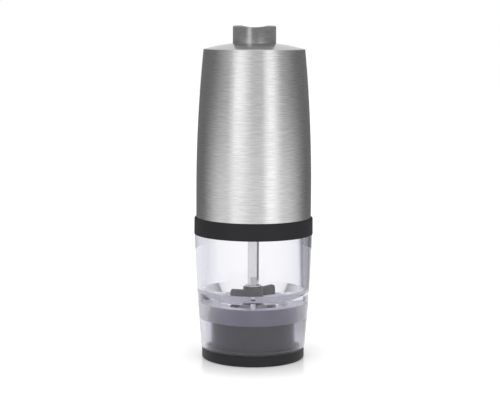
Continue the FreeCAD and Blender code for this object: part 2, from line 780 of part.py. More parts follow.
def make_clear_jar():
    body = turned("Jar", [
        (S.jar_base_radius, S.foot_height), Bend(S.jar_side_curve, 1),
        (D.jar_top_radius, D.shoulder), (D.neck_radius, D.shoulder),
        (D.neck_radius, D.neck_top), (D.jar_bore_radius, D.neck_top),
        (D.jar_bore_radius, D.floor_wall_top), (S.inlet_radius, D.floor_lip),
        (S.inlet_radius, D.floor_under), (S.grinder_radius + S.clear_gap, D.floor_under),
        (D.skirt_radius, D.floor_under - S.skirt_shoulder), (D.skirt_radius, S.foot_height)])
    places = ring_places(S.column_ring, 3, 30, D.floor_under)
    sketch = new_sketch(body, "XY_Plane", D.floor_under)
    draw_circle(sketch, S.screw_radius + S.seat_fit, places[0][0], places[0][1])
    pilot = pocket_up(body, sketch, S.screw_bite)
    repeat_round(body, pilot, as_size(3))
    keep("clear_jar", body)


def screw(at, length, head_first=True):
    """A pan-head screw that points up, its head under the given place."""
    x, y, height = at
    shank = cylinder(S.screw_radius, length, at)
    head = cylinder(S.head_radius, S.head_height, (x, y, height - S.head_height))
    if not head_first:
        shank = cylinder(S.screw_radius, length, (x, y, height - length))
        head = cylinder(S.head_radius, S.head_height, at)
    return fused(shank, head)


def make_grinder_housing():
    sleeve = S.burr_ring_radius + S.seat_fit
    sleeve_out = sleeve + S.sleeve_wall
    ledge = S.burr_ring_radius - S.ledge_width
    ledge_under = D.ledge_top - S.burr_ledge
    web = D.floor_under - 2 * S.grinder_wall
    wall = turned("GrinderWall", [
        (D.grinder_bore, S.grinder_lift), (S.grinder_radius, S.grinder_lift),
        (S.grinder_radius, D.floor_under), (sleeve, D.floor_under), (sleeve, D.ledge_top),
        (ledge, D.ledge_top), (ledge, ledge_under), (sleeve_out, ledge_under),
        (sleeve_out, web), (D.grinder_bore, web)])
    boss = cylinder(S.boss_radius, S.boss_height, (0, 0, S.boss_bottom))
    columns = [
        cylinder(S.column_radius, S.column_height, at)
        for at in ring_places(S.column_ring, 3, 30, D.column_bottom)]
    spokes = []
    reach = D.grinder_bore + S.grinder_wall / 2 - S.boss_radius + 2 * S.grinder_wall
    for angle in (90, 210, 330):
        inner = S.boss_radius - 2 * S.grinder_wall
        half = S.spoke_width / 2
        x = inner * cosine(angle) + half * sine(angle)
        y = inner * sine(angle) - half * cosine(angle)
        spokes.append(box(reach, S.spoke_width, S.spoke_height, (x, y, S.boss_bottom), angle))
    solid = fused(wall, boss, *columns, *spokes)
    flats = S.lifter_flats + S.clear_gap
    holes = [
        prism(6, flats, S.boss_height, (0, 0, D.boss_seat)),
        cylinder(S.stem_radius + S.running_fit, S.boss_height, (0, 0, S.boss_bottom - 1))]
    holes += [
        cylinder(S.screw_hole, 2 * S.column_height, at)
        for at in ring_places(S.column_ring, 3, 30, D.column_bottom - S.column_height / 2)]
    holes += [
        cylinder(S.head_radius + S.clear_gap / 2, 2 * S.head_height, at)
        for at in ring_places(S.column_ring, 3, 30, D.column_bottom - 2 * S.head_height)]
    keep("grinder_housing", cut(solid, *holes))


def make_housing_screws():
    length = D.floor_under + S.screw_bite - 0.2 - D.column_bottom
    places = ring_places(S.column_ring, 3, 30, D.column_bottom)
    keep("housing_screws", grouped([screw(at, length) for at in places]))


def make_burr_ring():
    bottom, top = D.ledge_top.value, D.floor_under.value
    throat = D.burr_throat.value + 0.6
    slope = (S.burr_base_radius.value - S.burr_throat_radius.value) / S.burr_fine_height.value
    narrow = S.burr_throat_radius.value + S.burr_gap.value - slope * (throat - D.burr_throat.value)
    wide = narrow + slope * (throat - bottom)
    fine, coarse = S.fine_depth.value, S.coarse_depth.value
    ring = Part.makeCylinder(S.burr_ring_radius.value, top - bottom, FreeCAD.Vector(0, 0, bottom))
    lower = toothed_cone(
        int(S.fine_teeth.value), fine, wide + fine, narrow + fine, bottom, throat, -S.burr_twist.value / 3)
    mouth = S.ring_mouth_radius.value + coarse
    upper = toothed_cone(
        int(S.coarse_teeth.value), coarse, narrow + coarse, mouth, throat, top, -S.burr_twist.value)
    keep("burr_ring", formed("BurrRing", ring.cut(lower).cut(upper)))


def square_hole(width, bottom, height):
    """A square prism turned as the shaft is."""
    half = width / 2
    hole = Part.makeBox(width, width, height, FreeCAD.Vector(-half, -half, bottom))
    hole.rotate(FreeCAD.Vector(0, 0, 0), FreeCAD.Vector(0, 0, 1), S.shaft_angle.value)
    return hole


def make_inner_burr():
    bottom, throat, top = D.lifter_top.value, D.burr_throat.value, D.burr_top.value
    fine = toothed_cone(
        int(S.fine_teeth.value), S.fine_depth.value, S.burr_base_radius.value, S.burr_throat_radius.value,
        bottom, throat, S.burr_twist.value / 3)
    coarse = toothed_cone(
        int(S.coarse_teeth.value), S.coarse_depth.value, S.burr_throat_radius.value,
        S.burr_top_radius.value, throat, top, S.burr_twist.value)
    bore = square_hole(S.shaft_width.value + 2 * S.running_fit.value, bottom - 1, top - bottom + 2)
    keep("inner_burr", formed("InnerBurr", fine.fuse(coarse).cut(bore)))


# Grind adjuster


def make_adjuster_screw():
    thread = S.stem_radius / 3
    depth = D.boss_seat - D.stem_bottom
    outline = [
        (thread, D.stem_bottom), (S.stem_radius, D.stem_bottom), (S.stem_radius, D.boss_seat),
        (S.flange_radius, D.boss_seat), (S.flange_radius, D.flange_top), (S.post_radius, D.flange_top),
        (S.post_radius, D.post_top), (S.pivot_radius + S.running_fit, D.post_top),
        (S.pivot_radius + S.running_fit, D.post_top - S.pivot_depth), (0, D.post_top - S.pivot_depth),
        (0, D.stem_bottom + depth * 0.8), (thread, D.stem_bottom + depth * 0.8)]
    keep("adjuster_screw", turned("AdjusterScrew", outline))


def make_grind_knob():
    body = new_body("Knob")
    hole = S.stem_radius / 3 + S.running_fit
    seat = S.stem_radius + S.seat_fit
    recess = S.head_radius + S.clear_gap
    web = S.knob_lift + S.head_height * 0.8
    top = S.knob_lift + S.knob_height
    turn_outline(body, [
        (recess, S.knob_lift), (S.knob_radius - S.foot_round, S.knob_lift), Bend(S.foot_round, 1),
        (S.knob_radius, S.knob_lift + S.foot_round), (S.knob_radius, top), (seat, top),
        (seat, D.stem_bottom), (hole, D.stem_bottom), (hole, web), (recess, web)])
    sketch = new_sketch(body, "XY_Plane")
    draw_circle(sketch, S.grip_radius, S.knob_radius + S.grip_radius / 2, 0)
    hollow = pocket_up(body, sketch, top + 1)
    repeat_round(body, hollow, S.knob_grips)
    keep("grind_knob", body)


def make_knob_screw():
    web = S.knob_lift + S.head_height * 0.8
    shank = S.stem_radius / 3 - S.seat_fit
    tip = D.stem_bottom + (D.boss_seat - D.stem_bottom) * 0.7
    low = S.knob_lift + S.head_height * 0.1
    keep("knob_screw", turned("KnobScrew", [
        (0, low), (S.head_radius, low), (S.head_radius, web), (shank, web), (shank, tip), (0, tip)]))


def make_burr_lifter():
    block = prism(6, S.lifter_flats, S.lifter_height, (0, 0, D.lifter_bottom))
    bore = cylinder(S.post_radius + S.running_fit, S.lifter_height + 2, (0, 0, D.lifter_bottom - 1))
    keep("burr_lifter", cut(block, bore))


# Rotor


def make_drive_shaft():
    body = new_body("Shaft")
    half = S.shaft_width / 2
    bevel = half - S.shaft_bevel
    sketch = new_sketch(body, "XY_Plane", D.shaft_foot)
    draw_outline(sketch, [
        (half, -bevel), (half, bevel), (bevel, half), (-bevel, half),
        (-half, bevel), (-half, -bevel), (-bevel, -half), (bevel, -half)])
    pad(body, sketch, D.shaft_top - D.shaft_foot)
    clip_top = D.clip_bottom + S.clip_thickness + S.seat_fit
    turn_outline(body, [
        (S.groove_radius, D.clip_bottom), (S.shaft_width, D.clip_bottom),
        (S.shaft_width, clip_top), (S.groove_radius, clip_top)], "PartDesign::Groove")
    pivot = new_sketch(body, "XY_Plane", D.post_top - S.pivot_depth)
    draw_circle(pivot, S.pivot_radius)
    pad(body, pivot, D.shaft_foot - D.post_top + S.pivot_depth + 1)
    body.Placement = FreeCAD.Placement(
        FreeCAD.Vector(), FreeCAD.Rotation(FreeCAD.Vector(0, 0, 1), S.shaft_angle.value))
    body.setExpression("Placement.Rotation.Angle", S.shaft_angle.formula + " * 1 deg")
    keep("drive_shaft", body)


def make_spring_clip():
    plate = cylinder(S.clip_radius, S.clip_thickness, (0, 0, D.clip_bottom + S.seat_fit / 2))
    bore = cylinder(S.groove_radius + S.seat_fit, S.clip_thickness + 2, (0, 0, D.clip_bottom - 1))
    slot = box(
        S.clip_slot, S.clip_radius + 1, S.clip_thickness + 2, (-S.clip_slot / 2, 0, D.clip_bottom - 1))
    left = (S.shaft_width + S.shaft_bevel) / 2 - S.tongue_width
    front = -S.shaft_width / 2 - S.clip_thickness - S.seat_fit
    x = left * cosine(S.shaft_angle) - front * sine(S.shaft_angle)
    y = left * sine(S.shaft_angle) + front * cosine(S.shaft_angle)
    tongue = box(
        S.tongue_width, S.clip_thickness, S.tongue_height, (x, y, D.clip_bottom + S.seat_fit), S.shaft_angle)
    keep("spring_clip", fused(cut(plate, bore, slot), tongue))


def make_burr_spring():
    shape = coil(
        "burr_spring", S.burr_coil_radius.value, S.burr_wire.value, D.hub_pocket.value + 0.02,
        D.clip_bottom.value - 0.02, S.burr_turns.value)
    keep("burr_spring", formed("BurrSpring", shape))


def blade(side):
    """One curved blade in plan, as a closed wire; side is +1 or -1."""
    thick, curve, offset = S.blade_thickness.value / 2, S.blade_curve.value, S.blade_offset.value
    turns = [math.radians(S.blade_sweep.value * part) for part in (0.0, 0.5, 1.0)]

    def row(radius):
        return [
            FreeCAD.Vector(side * radius * math.sin(turn), side * (offset + curve - radius * math.cos(turn)),
                           D.burr_top.value + S.blade_foot.value)
            for turn in turns]

    outer, inner = row(curve + thick), row(curve - thick)
    return Part.Wire([
        Part.Arc(*outer).toShape(), Part.makeLine(outer[2], inner[2]),
        Part.Arc(*reversed(inner)).toShape(), Part.makeLine(inner[0], outer[0])])


def make_feed_paddle():
    foot = D.burr_top + S.blade_foot
    top = foot + S.blade_height
    reach = Part.makeCylinder(S.paddle_radius.value, S.blade_height.value, FreeCAD.Vector(0, 0, foot.value))
    rim = [edge for edge in reach.Edges if edge.Closed and abs(edge.BoundBox.ZMin - top.value) < 0.01]
    reach = reach.makeFillet(S.blade_round.value, rim)
    dish_foot = FreeCAD.Vector(0, 0, top.value - S.blade_dish.value)
    reach = reach.cut(Part.makeCone(0, S.paddle_radius.value, S.blade_dish.value, dish_foot))
    blades = [
        Part.Face(blade(side)).extrude(FreeCAD.Vector(0, 0, S.blade_height.value)).common(reach)
        for side in (1, -1)]
    hub = Part.makeCylinder(
        S.hub_radius.value, S.hub_height.value, FreeCAD.Vector(0, 0, D.burr_top.value))
    width = S.shaft_width.value + 2 * S.running_fit.value
    bore = square_hole(width, D.burr_top.value - 1, S.hub_height.value + 2)
    pocket = Part.makeCylinder(
        S.clip_radius.value + S.clear_gap.value, S.hub_height.value, FreeCAD.Vector(0, 0, D.hub_pocket.value))
    paddle = hub.fuse(blades).removeSplitter().cut(bore).cut(pocket)
    keep("feed_paddle", formed("FeedPaddle", paddle))


# Collar, shell and button


def make_collar():
    inner = D.register_radius - S.register_wall
    top_radius = D.collar_radius - S.collar_taper
    body = turned("Collar", [
        (D.collar_bore, D.shoulder), (D.collar_radius, D.shoulder),
        (top_radius, D.collar_top - S.collar_edge), (top_radius - S.collar_edge, D.collar_top),
        (D.register_radius, D.collar_top), (D.register_radius, D.collar_top + S.register_height),
        (inner, D.collar_top + S.register_height), (inner, D.plate_top),
        (S.socket_radius + S.clear_gap, D.plate_top), (S.socket_radius + S.clear_gap, D.plate_under),
        (D.collar_bore, D.plate_under)])
    ears = [
        cylinder(S.screw_radius + S.seat_fit, S.collar_plate, at)
        for at in ring_places(S.ear_ring, 3, 0, D.plate_under + 0.4)]
    pillars = [
        cylinder(S.screw_hole, S.collar_plate + 2, at)
        for at in ring_places(S.pillar_ring, 3, 60, D.plate_under - 1)]
    sinks = [
        cone(S.head_radius + S.seat_fit, S.screw_radius, S.head_height, at)
        for at in ring_places(S.pillar_ring, 3, 60, D.plate_under)]
    keep("collar", cut(body, *ears, *pillars, *sinks))


def make_jar_seal():
    inner = D.jar_bore_radius + S.seat_fit
    keep("jar_seal", turned("JarSeal", [
        (inner, D.neck_top), (D.neck_radius, D.neck_top),
        (D.neck_radius, D.plate_under), (inner, D.plate_under)]))


def arc_radius(rise, run):
    """The radius of an arc that starts square and reaches rise after run."""
    return (run * run + rise * rise) / (2 * rise)


def make_steel_shell():
    side = arc_radius(S.shell_radius - S.shell_top_radius, D.shell_edge_height - D.shell_bend)
    dome = arc_radius(S.dome_rise, S.shell_top_radius)
    inner_side = side - S.shell_wall
    inner_dome = dome - S.shell_wall
    corner_height = D.shell_edge_height - S.shell_wall
    run = corner_height - D.shell_bend
    corner_radius = S.shell_radius - side + root(inner_side * inner_side - run * run)
    hole_height = D.crown - dome + root(dome * dome - D.button_hole * D.button_hole)
    hole_under = D.crown - dome + root(inner_dome * inner_dome - D.button_hole * D.button_hole)
    body = new_body("Shell")
    feature = turn_outline(body, [
        (S.shell_radius, D.collar_top), (S.shell_radius, D.shell_bend), Bend(side, 1),
        (S.shell_top_radius, D.shell_edge_height), Bend(dome, 1),
        (D.button_hole, hole_height), (D.button_hole, hole_under), Bend(inner_dome, -1),
        (corner_radius, corner_height), Bend(inner_side, -1),
        (D.shell_bore, D.shell_bend), (D.shell_bore, D.collar_top)])
    round_rim(body, feature, S.shell_top_radius, D.shell_edge_height, S.shell_edge)
    keep("steel_shell", body)


def make_button_cap():
    rim = S.button_radius - S.button_edge
    dish = arc_radius(S.dish_depth, rim)
    keep("button_cap", turned("ButtonCap", [
        (D.cap_bore, D.cap_foot), (S.button_radius, D.cap_foot),
        (S.button_radius, D.button_top - S.button_edge), Bend(S.button_edge, 1),
        (rim, D.button_top), Bend(dish, -1), (0, D.button_top - S.dish_depth),
        (0, D.cap_under), (D.cap_bore, D.cap_under)]))


def make_button_plunger():
    stem = S.guide_radius - S.guide_lip - 2 * S.running_fit
    flange = S.guide_radius - 2 * S.running_fit
    pocket = S.button_coil_radius + S.button_wire
    plate = D.cap_bore - S.seat_fit
    keep("button_plunger", turned("ButtonPlunger", [
        (pocket, D.plunger_foot), (flange, D.plunger_foot), (flange, D.flange_head),
        (stem, D.flange_head), (stem, D.plate_foot), (plate, D.plate_foot), (plate, D.cap_under),
        (0, D.cap_under), (0, D.spring_room), (pocket, D.spring_room)]))


def make_contact_bridge():
    inner = S.button_coil_radius + S.button_wire
    outer = S.guide_radius - S.clear_gap
    keep("contact_bridge", turned("ContactBridge", [
        (inner, D.bridge_bottom), (outer, D.bridge_bottom),
        (outer, D.plunger_foot), (inner, D.plunger_foot)]))


def make_button_spring():
    shape = coil(
        "button_spring", S.button_coil_radius.value, S.button_wire.value, D.deck_top.value + 0.02,
        D.spring_room.value - 0.02, S.button_turns.value)
    keep("button_spring", formed("ButtonSpring", shape))


def make_switch_contacts():
    inner = S.button_coil_radius + S.button_wire + S.clear_gap
    length = D.tube_radius + S.cell_radius - inner
    half = S.strip_width / 2
    right = box(length, S.strip_width, S.strip_thickness, (inner, -half, D.deck_top))
    left = box(length, S.strip_width, S.strip_thickness, (-inner - length, -half, D.deck_top))
    keep("switch_contacts", grouped([right, left]))


# Gearbox


def make_gearbox_case():
    height = D.motor_plate_under - D.plate_top
    bottom = D.plate_top.value
    wall = Part.makeCylinder(D.gearbox_radius.value, height.value, FreeCAD.Vector(0, 0, bottom))
    ears = [
        Part.makeCylinder(S.ear_radius.value, height.value, vector(S.ear_ring.value, angle, bottom))
        for angle in (0, 120, 240)]
    holes = [
        Part.makeCylinder(S.screw_hole.value, height.value + 2, vector(S.ear_ring.value, angle, bottom - 1))
        for angle in (0, 120, 240)]
    bearing = Part.makeCylinder(
        S.socket_radius.value + S.running_fit.value, height.value, FreeCAD.Vector(0, 0, bottom - 1))
    room = ring_space(D.gear_floor.value, height.value)
    solid = wall.fuse(ears).removeSplitter().cut([bearing, *holes]).cut(room)
    keep("gearbox_case", formed("GearboxCase", solid))


def make_motor_plate():
    disc = cylinder(D.gearbox_radius, S.motor_plate, (0, 0, D.motor_plate_under))
    ears = [
        cylinder(S.ear_radius, S.motor_plate, at)
        for at in ring_places(S.ear_ring, 3, 0, D.motor_plate_under)]
    below = D.motor_plate_under - 1
    holes = [cylinder(S.motor_boss + S.running_fit, S.motor_plate + 2, (0, 0, below))]
    holes += [
        cylinder(S.screw_hole, S.motor_plate + 2, at) for at in ring_places(S.ear_ring, 3, 0, below)]
    holes += [
        cylinder(S.screw_hole, S.motor_plate + 2, at)
        for at in ring_places(S.motor_screw_ring, 2, 0, below)]
    holes += [
        cone(S.head_radius + S.seat_fit, S.screw_radius, S.head_height, at)
        for at in ring_places(S.motor_screw_ring, 2, 0, D.motor_plate_under)]
    keep("motor_plate", cut(fused(disc, *ears), *holes))


def make_gearbox_screws():
    length = D.motor_front - D.plate_under - 0.6
    places = ring_places(S.ear_ring, 3, 0, D.motor_front)
    keep("gearbox_screws", grouped([screw(at, length, head_first=False) for at in places]))


def sunk_screw(at, length):
    """A countersunk screw that points up, its head flush at the given place."""
    shank = cylinder(S.screw_radius, length, at)
    head = cone(S.head_radius, S.screw_radius, S.head_height, at)
    return fused(shank, head)


def make_motor_screws():
    length = S.motor_plate + S.screw_bite - 0.2
    places = ring_places(S.motor_screw_ring, 2, 0, D.motor_plate_under)
    keep("motor_screws", grouped([sunk_screw(at, length) for at in places]))


def make_chassis_screws():
    length = S.collar_plate + 2 * S.screw_bite
    places = ring_places(S.pillar_ring, 3, 60, D.plate_under)
    keep("chassis_screws", grouped([sunk_screw(at, length) for at in places]))


def pins(bottom, length):
    """The planet pins of one carrier."""
    return grouped([
        cylinder(S.pin_radius, length, at)
        for at in ring_places(D.orbit, int(S.planet_count.value), 0, bottom)])


def pin_holes(bottom, length):
    return [
        cylinder(S.pin_radius + S.seat_fit, length, at)
        for at in ring_places(D.orbit, int(S.planet_count.value), 0, bottom)]


def make_output_carrier():
    top = D.output_disc + S.carrier_thickness
    body = turned("OutputCarrier", [
        (0, D.plate_under), (S.socket_radius, D.plate_under), (S.socket_radius, D.output_disc),
        (S.carrier_radius, D.output_disc), (S.carrier_radius, top), (S.guide_pin, top),
        (S.guide_pin, D.slow_top - 1), (0, D.slow_top - 1)])
    width = S.shaft_width + 2 * S.running_fit
    half = width / 2
    sketch = new_sketch(body, "XY_Plane", D.plate_under)
    places = [(half, -half), (half, half), (-half, half), (-half, -half)]
    turn_x, turn_y = cosine(S.shaft_angle), sine(S.shaft_angle)
    draw_outline(sketch, [(x * turn_x - y * turn_y, x * turn_y + y * turn_x) for x, y in places])
    pocket_up(body, sketch, S.shaft_reach + S.clear_gap)
    holes = pin_holes(D.output_disc + S.carrier_thickness / 4, S.carrier_thickness)
    keep("output_carrier", cut(body, *holes))


def make_first_carrier():
    bottom = D.slow_bottom.value
    height = D.first_disc.value - bottom
    thickness = S.carrier_thickness.value
    sun = gear(int(S.sun_teeth.value), 0, bottom, height)
    disc = Part.makeCylinder(
        S.carrier_radius.value, thickness, FreeCAD.Vector(0, 0, D.first_disc.value))
    guide = Part.makeCylinder(
        S.guide_pin.value + S.running_fit.value, height, FreeCAD.Vector(0, 0, bottom - 0.4))
    count = int(S.planet_count.value)
    holes = [
        Part.makeCylinder(
            S.pin_radius.value + S.seat_fit.value, thickness,
            vector(D.orbit.value, 360.0 * step / count, D.first_disc.value + thickness / 4))
        for step in range(count)]
    keep("first_carrier", formed("FirstCarrier", disc.fuse(sun).cut([guide, *holes])))


def make_pins():
    quarter = S.carrier_thickness / 4
    slow_foot = D.output_disc + quarter
    keep("output_pins", pins(slow_foot, D.slow_top + S.clear_gap - slow_foot))
    fast_foot = D.first_disc + quarter
    keep("first_pins", pins(fast_foot, D.fast_top + S.clear_gap - fast_foot))


def make_planets(stage, bottom, face):
    count = int(S.planet_count.value)
    teeth = int(S.planet_teeth.value)
    for number in range(count):
        angle = 360.0 * number / count
        centre = vector(D.orbit.value, angle, 0)
        shape = gear(
            teeth, S.pin_radius.value + S.running_fit.value, bottom.value, face.value,
            angle + 180.0 - 180.0 / teeth, (centre.x, centre.y))
        keep(f"{stage}_planet_{number + 1}", formed(f"{stage.title()}Planet{number + 1}", shape))


# Motor


def make_motor_can():
    bore = S.motor_shaft_radius + S.running_fit
    boss_front = D.motor_front - S.motor_boss_height
    seat = D.motor_front + S.motor_shaft_seat
    body = turned("MotorCan", [
        (bore, boss_front), (S.motor_boss, boss_front), (S.motor_boss, D.motor_front),
        (S.motor_radius, D.motor_front), (S.motor_radius, D.motor_back),
        (0, D.motor_back), (0, seat), (bore, seat)])
    threads = [
        cylinder(S.screw_radius + S.seat_fit, S.screw_bite, at)
        for at in ring_places(S.motor_screw_ring, 2, 0, D.motor_front)]
    keep("motor_can", cut(body, *threads))


def make_motor_fittings():
    keep("motor_end_cap", cylinder(S.motor_radius * 0.95, S.motor_cap, (0, 0, D.motor_back)))
    half = S.terminal_width / 2
    tabs = []
    for side in (1, -1):
        x = side * S.terminal_ring - S.terminal_thickness / 2
        tabs.append(box(
            S.terminal_thickness, S.terminal_width, S.terminal_height, (x, -half, D.cap_back)))
    keep("motor_terminals", grouped(tabs))
    foot = D.cap_back + S.terminal_height
    leads = [
        cylinder(S.lead_radius, D.deck_top - foot, (side * S.terminal_ring, 0, foot)) for side in (1, -1)]
    keep("motor_leads", grouped(leads))


def make_motor_shaft():
    length = D.motor_front + S.motor_shaft_seat - D.fast_bottom - 0.2
    keep("motor_shaft", cylinder(S.motor_shaft_radius, length, (0, 0, D.fast_bottom)))
    bore = S.motor_shaft_radius.value + S.seat_fit.value
    shape = gear(int(S.sun_teeth.value), bore, D.fast_bottom.value, S.fast_face.value + 0.4)
    keep("motor_pinion", formed("MotorPinion", shape))


# Chassis, cells and contacts


def make_chassis():
    count = int(S.cell_count.value)
    tube = cylinder(D.tube_radius, D.upper_deck - D.lower_deck, (0, 0, D.lower_deck))
    decks = [
        cylinder(S.deck_radius, S.deck_thickness, (0, 0, height)) for height in (D.lower_deck, D.upper_deck)]
    cradle_radius = S.cell_radius + S.cell_gap + S.cradle_wall
    cradles = [
        cylinder(cradle_radius, D.cell_room, at) for at in ring_places(D.cell_ring, count, 30, D.cell_floor)]
    reach = cylinder(D.cell_ring + S.cradle_reach, D.cell_room, (0, 0, D.cell_floor))
    pillars = [
        cylinder(S.pillar_radius, D.lower_deck - D.plate_top, at)
        for at in ring_places(S.pillar_ring, 3, 60, D.plate_top)]
    bays = [
        cylinder(S.cell_radius + S.cell_gap, D.cell_room, at)
        for at in ring_places(D.cell_ring, count, 30, D.cell_floor)]
    motor_room = cylinder(D.tube_bore, D.upper_deck - D.lower_deck + 1, (0, 0, D.lower_deck - 1))
    threads = [
        cylinder(S.screw_radius + S.seat_fit, 2 * S.screw_bite, at)
        for at in ring_places(S.pillar_ring, 3, 60, D.plate_top)]
    lead_holes = [
        cylinder(S.lead_radius + S.seat_fit, 2 * S.deck_thickness, at)
        for at in ring_places(S.terminal_ring, 2, 0, D.upper_deck - S.deck_thickness / 2)]
    guide = turned("PlungerGuide", [
        (S.guide_radius, D.upper_deck), (S.guide_radius + S.guide_wall, D.upper_deck),
        (S.guide_radius + S.guide_wall, D.guide_top), (S.guide_radius - S.guide_lip, D.guide_top),
        (S.guide_radius - S.guide_lip, D.lip_bottom), (S.guide_radius, D.lip_bottom)])
    slot_width = S.strip_width + 2 * S.seat_fit
    slot = box(
        4 * S.guide_radius, slot_width, S.strip_thickness + S.seat_fit,
        (-2 * S.guide_radius, -slot_width / 2, D.deck_top))
    frame = fused(tube, *decks, *pillars, guide, common(fused(*cradles), reach))
    keep("chassis", cut(frame, motor_room, slot, *bays, *threads, *lead_holes))


def make_cells():
    count = int(S.cell_count.value)
    cells, plates, springs = [], [], []
    body_length = D.cell_length - S.nub_height
    for number, at in enumerate(ring_places(D.cell_ring, count, 30, D.cell_floor)):
        x, y, floor = at
        low = floor + S.cell_spring_length
        can, nub, plate = low, low + body_length, D.upper_deck - S.plate_thickness
        spring_foot, spring_top = floor, low
        if number % 2:
            nub = floor + S.plate_thickness
            can, plate = nub + S.nub_height, floor
            spring_foot, spring_top = can + body_length, D.upper_deck
        cells.append(fused(
            cylinder(S.cell_radius, body_length, (x, y, can)),
            cylinder(S.nub_radius, S.nub_height, (x, y, nub))))
        plates.append(cylinder(S.plate_radius, S.plate_thickness, (x, y, plate)))
        springs.append(coil(
            f"cell_springs {number + 1}", S.cell_coil_radius.value, S.cell_wire.value,
            spring_foot.value + 0.01, spring_top.value - 0.01, S.cell_turns.value, (x.value, y.value)))
    keep("cells", grouped(cells))
    keep("cell_plates", grouped(plates))
    keep("cell_springs", formed("CellSprings", Part.makeCompound(springs)))


def make_all():
    make_foot_ring()
    make_clear_jar()
    make_grinder_housing()
    make_housing_screws()
    make_burr_ring()
    make_inner_burr()
    make_adjuster_screw()
    make_grind_knob()
    make_knob_screw()
    make_burr_lifter()
    make_drive_shaft()
    make_spring_clip()
    make_burr_spring()
    make_feed_paddle()
    make_collar()
    make_jar_seal()
    make_steel_shell()
    make_button_cap()
    make_button_plunger()
    make_contact_bridge()
    make_button_spring()
    make_switch_contacts()
    make_gearbox_case()
    make_motor_plate()
    make_gearbox_screws()
    make_motor_screws()
    make_chassis_screws()
    make_output_carrier()
    make_first_carrier()
    make_pins()
    make_planets("slow", D.slow_bottom, S.slow_face)
    make_planets("fast", D.fast_bottom, S.fast_face)
    make_motor_can()
    make_motor_fittings()
    make_motor_shaft()
    make_chassis()
    make_cells()


def check_document():
    bad = [thing.Label for thing in doc.Objects if {"Invalid", "Error"} & set(thing.State)]
    for label, thing in PARTS.items():
        if thing.Shape.isNull() or not thing.Shape.isValid() or not thing.Shape.Solids:
            bad.append(label)
    if bad:
        raise RuntimeError("not sound: " + ", ".join(bad))


fill_sheet()
derive_levels()
make_all()
doc.recompute()
check_document()
os.makedirs("parts", exist_ok=True)
for label, thing in PARTS.items():
    thing.Shape.exportStep(f"parts/{label}.step")
    print(label, len(thing.Shape.Solids), round(thing.Shape.Volume, 1))
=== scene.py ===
import math

import bmesh
import bpy
from mathutils import Matrix, Vector


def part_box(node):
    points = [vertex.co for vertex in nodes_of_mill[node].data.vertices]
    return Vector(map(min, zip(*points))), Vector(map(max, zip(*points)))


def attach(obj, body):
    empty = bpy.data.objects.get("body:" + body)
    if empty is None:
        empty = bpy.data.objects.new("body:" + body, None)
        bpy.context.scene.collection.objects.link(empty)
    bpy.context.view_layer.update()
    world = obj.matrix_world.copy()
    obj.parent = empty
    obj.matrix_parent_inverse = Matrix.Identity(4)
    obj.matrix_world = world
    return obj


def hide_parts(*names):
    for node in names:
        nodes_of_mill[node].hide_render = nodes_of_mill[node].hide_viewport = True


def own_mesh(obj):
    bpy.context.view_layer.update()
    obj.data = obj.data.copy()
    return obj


# Looks of the battery pepper mill: metres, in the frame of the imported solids.

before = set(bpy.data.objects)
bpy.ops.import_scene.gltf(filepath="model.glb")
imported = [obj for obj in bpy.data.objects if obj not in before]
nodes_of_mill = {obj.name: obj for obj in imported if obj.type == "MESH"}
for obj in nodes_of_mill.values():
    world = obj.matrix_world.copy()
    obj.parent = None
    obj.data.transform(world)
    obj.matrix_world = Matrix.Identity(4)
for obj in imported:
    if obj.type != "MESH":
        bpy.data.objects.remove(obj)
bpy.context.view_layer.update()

MM = 0.001
DEGREES = 180.0 / math.pi
WHITE = (1.0, 1.0, 1.0)

# Camera: lengths in metres, or in pixels of the picture

IMAGE_WIDTH = 500
SENSOR_WIDTH = 36.0
CAMERA_DISTANCE = 0.6925
CAMERA_HEIGHT = 0.1653
CAMERA_PITCH = math.radians(7.003)
CAMERA_ROLL = math.radians(0.277)
FOCAL_PIXELS = 1381.2
AXIS_OFFSET_PIXELS = 3.65

# Studio. A step is given by where it starts and where it ends, and then by its values at both; without
# values it goes from 0 to 1. A strip is given in degrees from the camera's side, growing to its right: the
# foot and the head of its inner edge, then the head and the foot of its outer edge.

WORLD_SEEN = 1.0
WORLD_LIGHT = 0.74

LAMP_HEIGHT = 0.42
LAMP_DISTANCE = 0.95
LAMP_WIDTH = 0.7
LAMP_TALL = 0.9
LAMP_AIM = 0.09

FLOOR_HALF = 3.0
FLOOR_LIT = 0.82
FLOOR_SEEN = 1.5
FLOOR_SHEEN = 0.2
FLOOR_POLISH = (0.07, 0.026, 0.0, 0.33)

WALL_STEPS = 72
TENT_RADIUS = 0.34
TENT_HEIGHT = 0.6
TENT_LEAN = math.radians(3)
TENT_STRETCH = 0.93
LEFT_STRIP = (2, -31, -35, -53)
RIGHT_STRIP = (16, 29, 35, 59)
UPPER_FALL = (102.0, 25.0, 0.2, 0.72)
UPPER_GAIN = 0.72
LOWER_FALL = (118.0, 56.0, 0.19, 0.94)
LOWER_GAIN = (-0.3, 0.3, 0.4, 0.6)
WALL_RISE = (0.026, 0.185)
ROOF_RISE = (0.2, 0.3)
ROOF_SHADE = 0.72
BACK_EDGE = (math.radians(160), math.radians(168))
BACK_SHADE = (0.1, 0.16, 1.0, 0.76)

BUTTON_CARD_TURN = 140
BUTTON_CARD_RADIUS = 0.05
BUTTON_CARD_LOW = 0.1598
BUTTON_CARD_HIGH = 0.18
BUTTON_CARD_SHADE = 0.4
BUTTON_CARD_REACH = (0.037, 0.038)
BUTTON_SLOT = (-12, -19, -24, -40)
BUTTON_SLOT_GAIN = 0.9

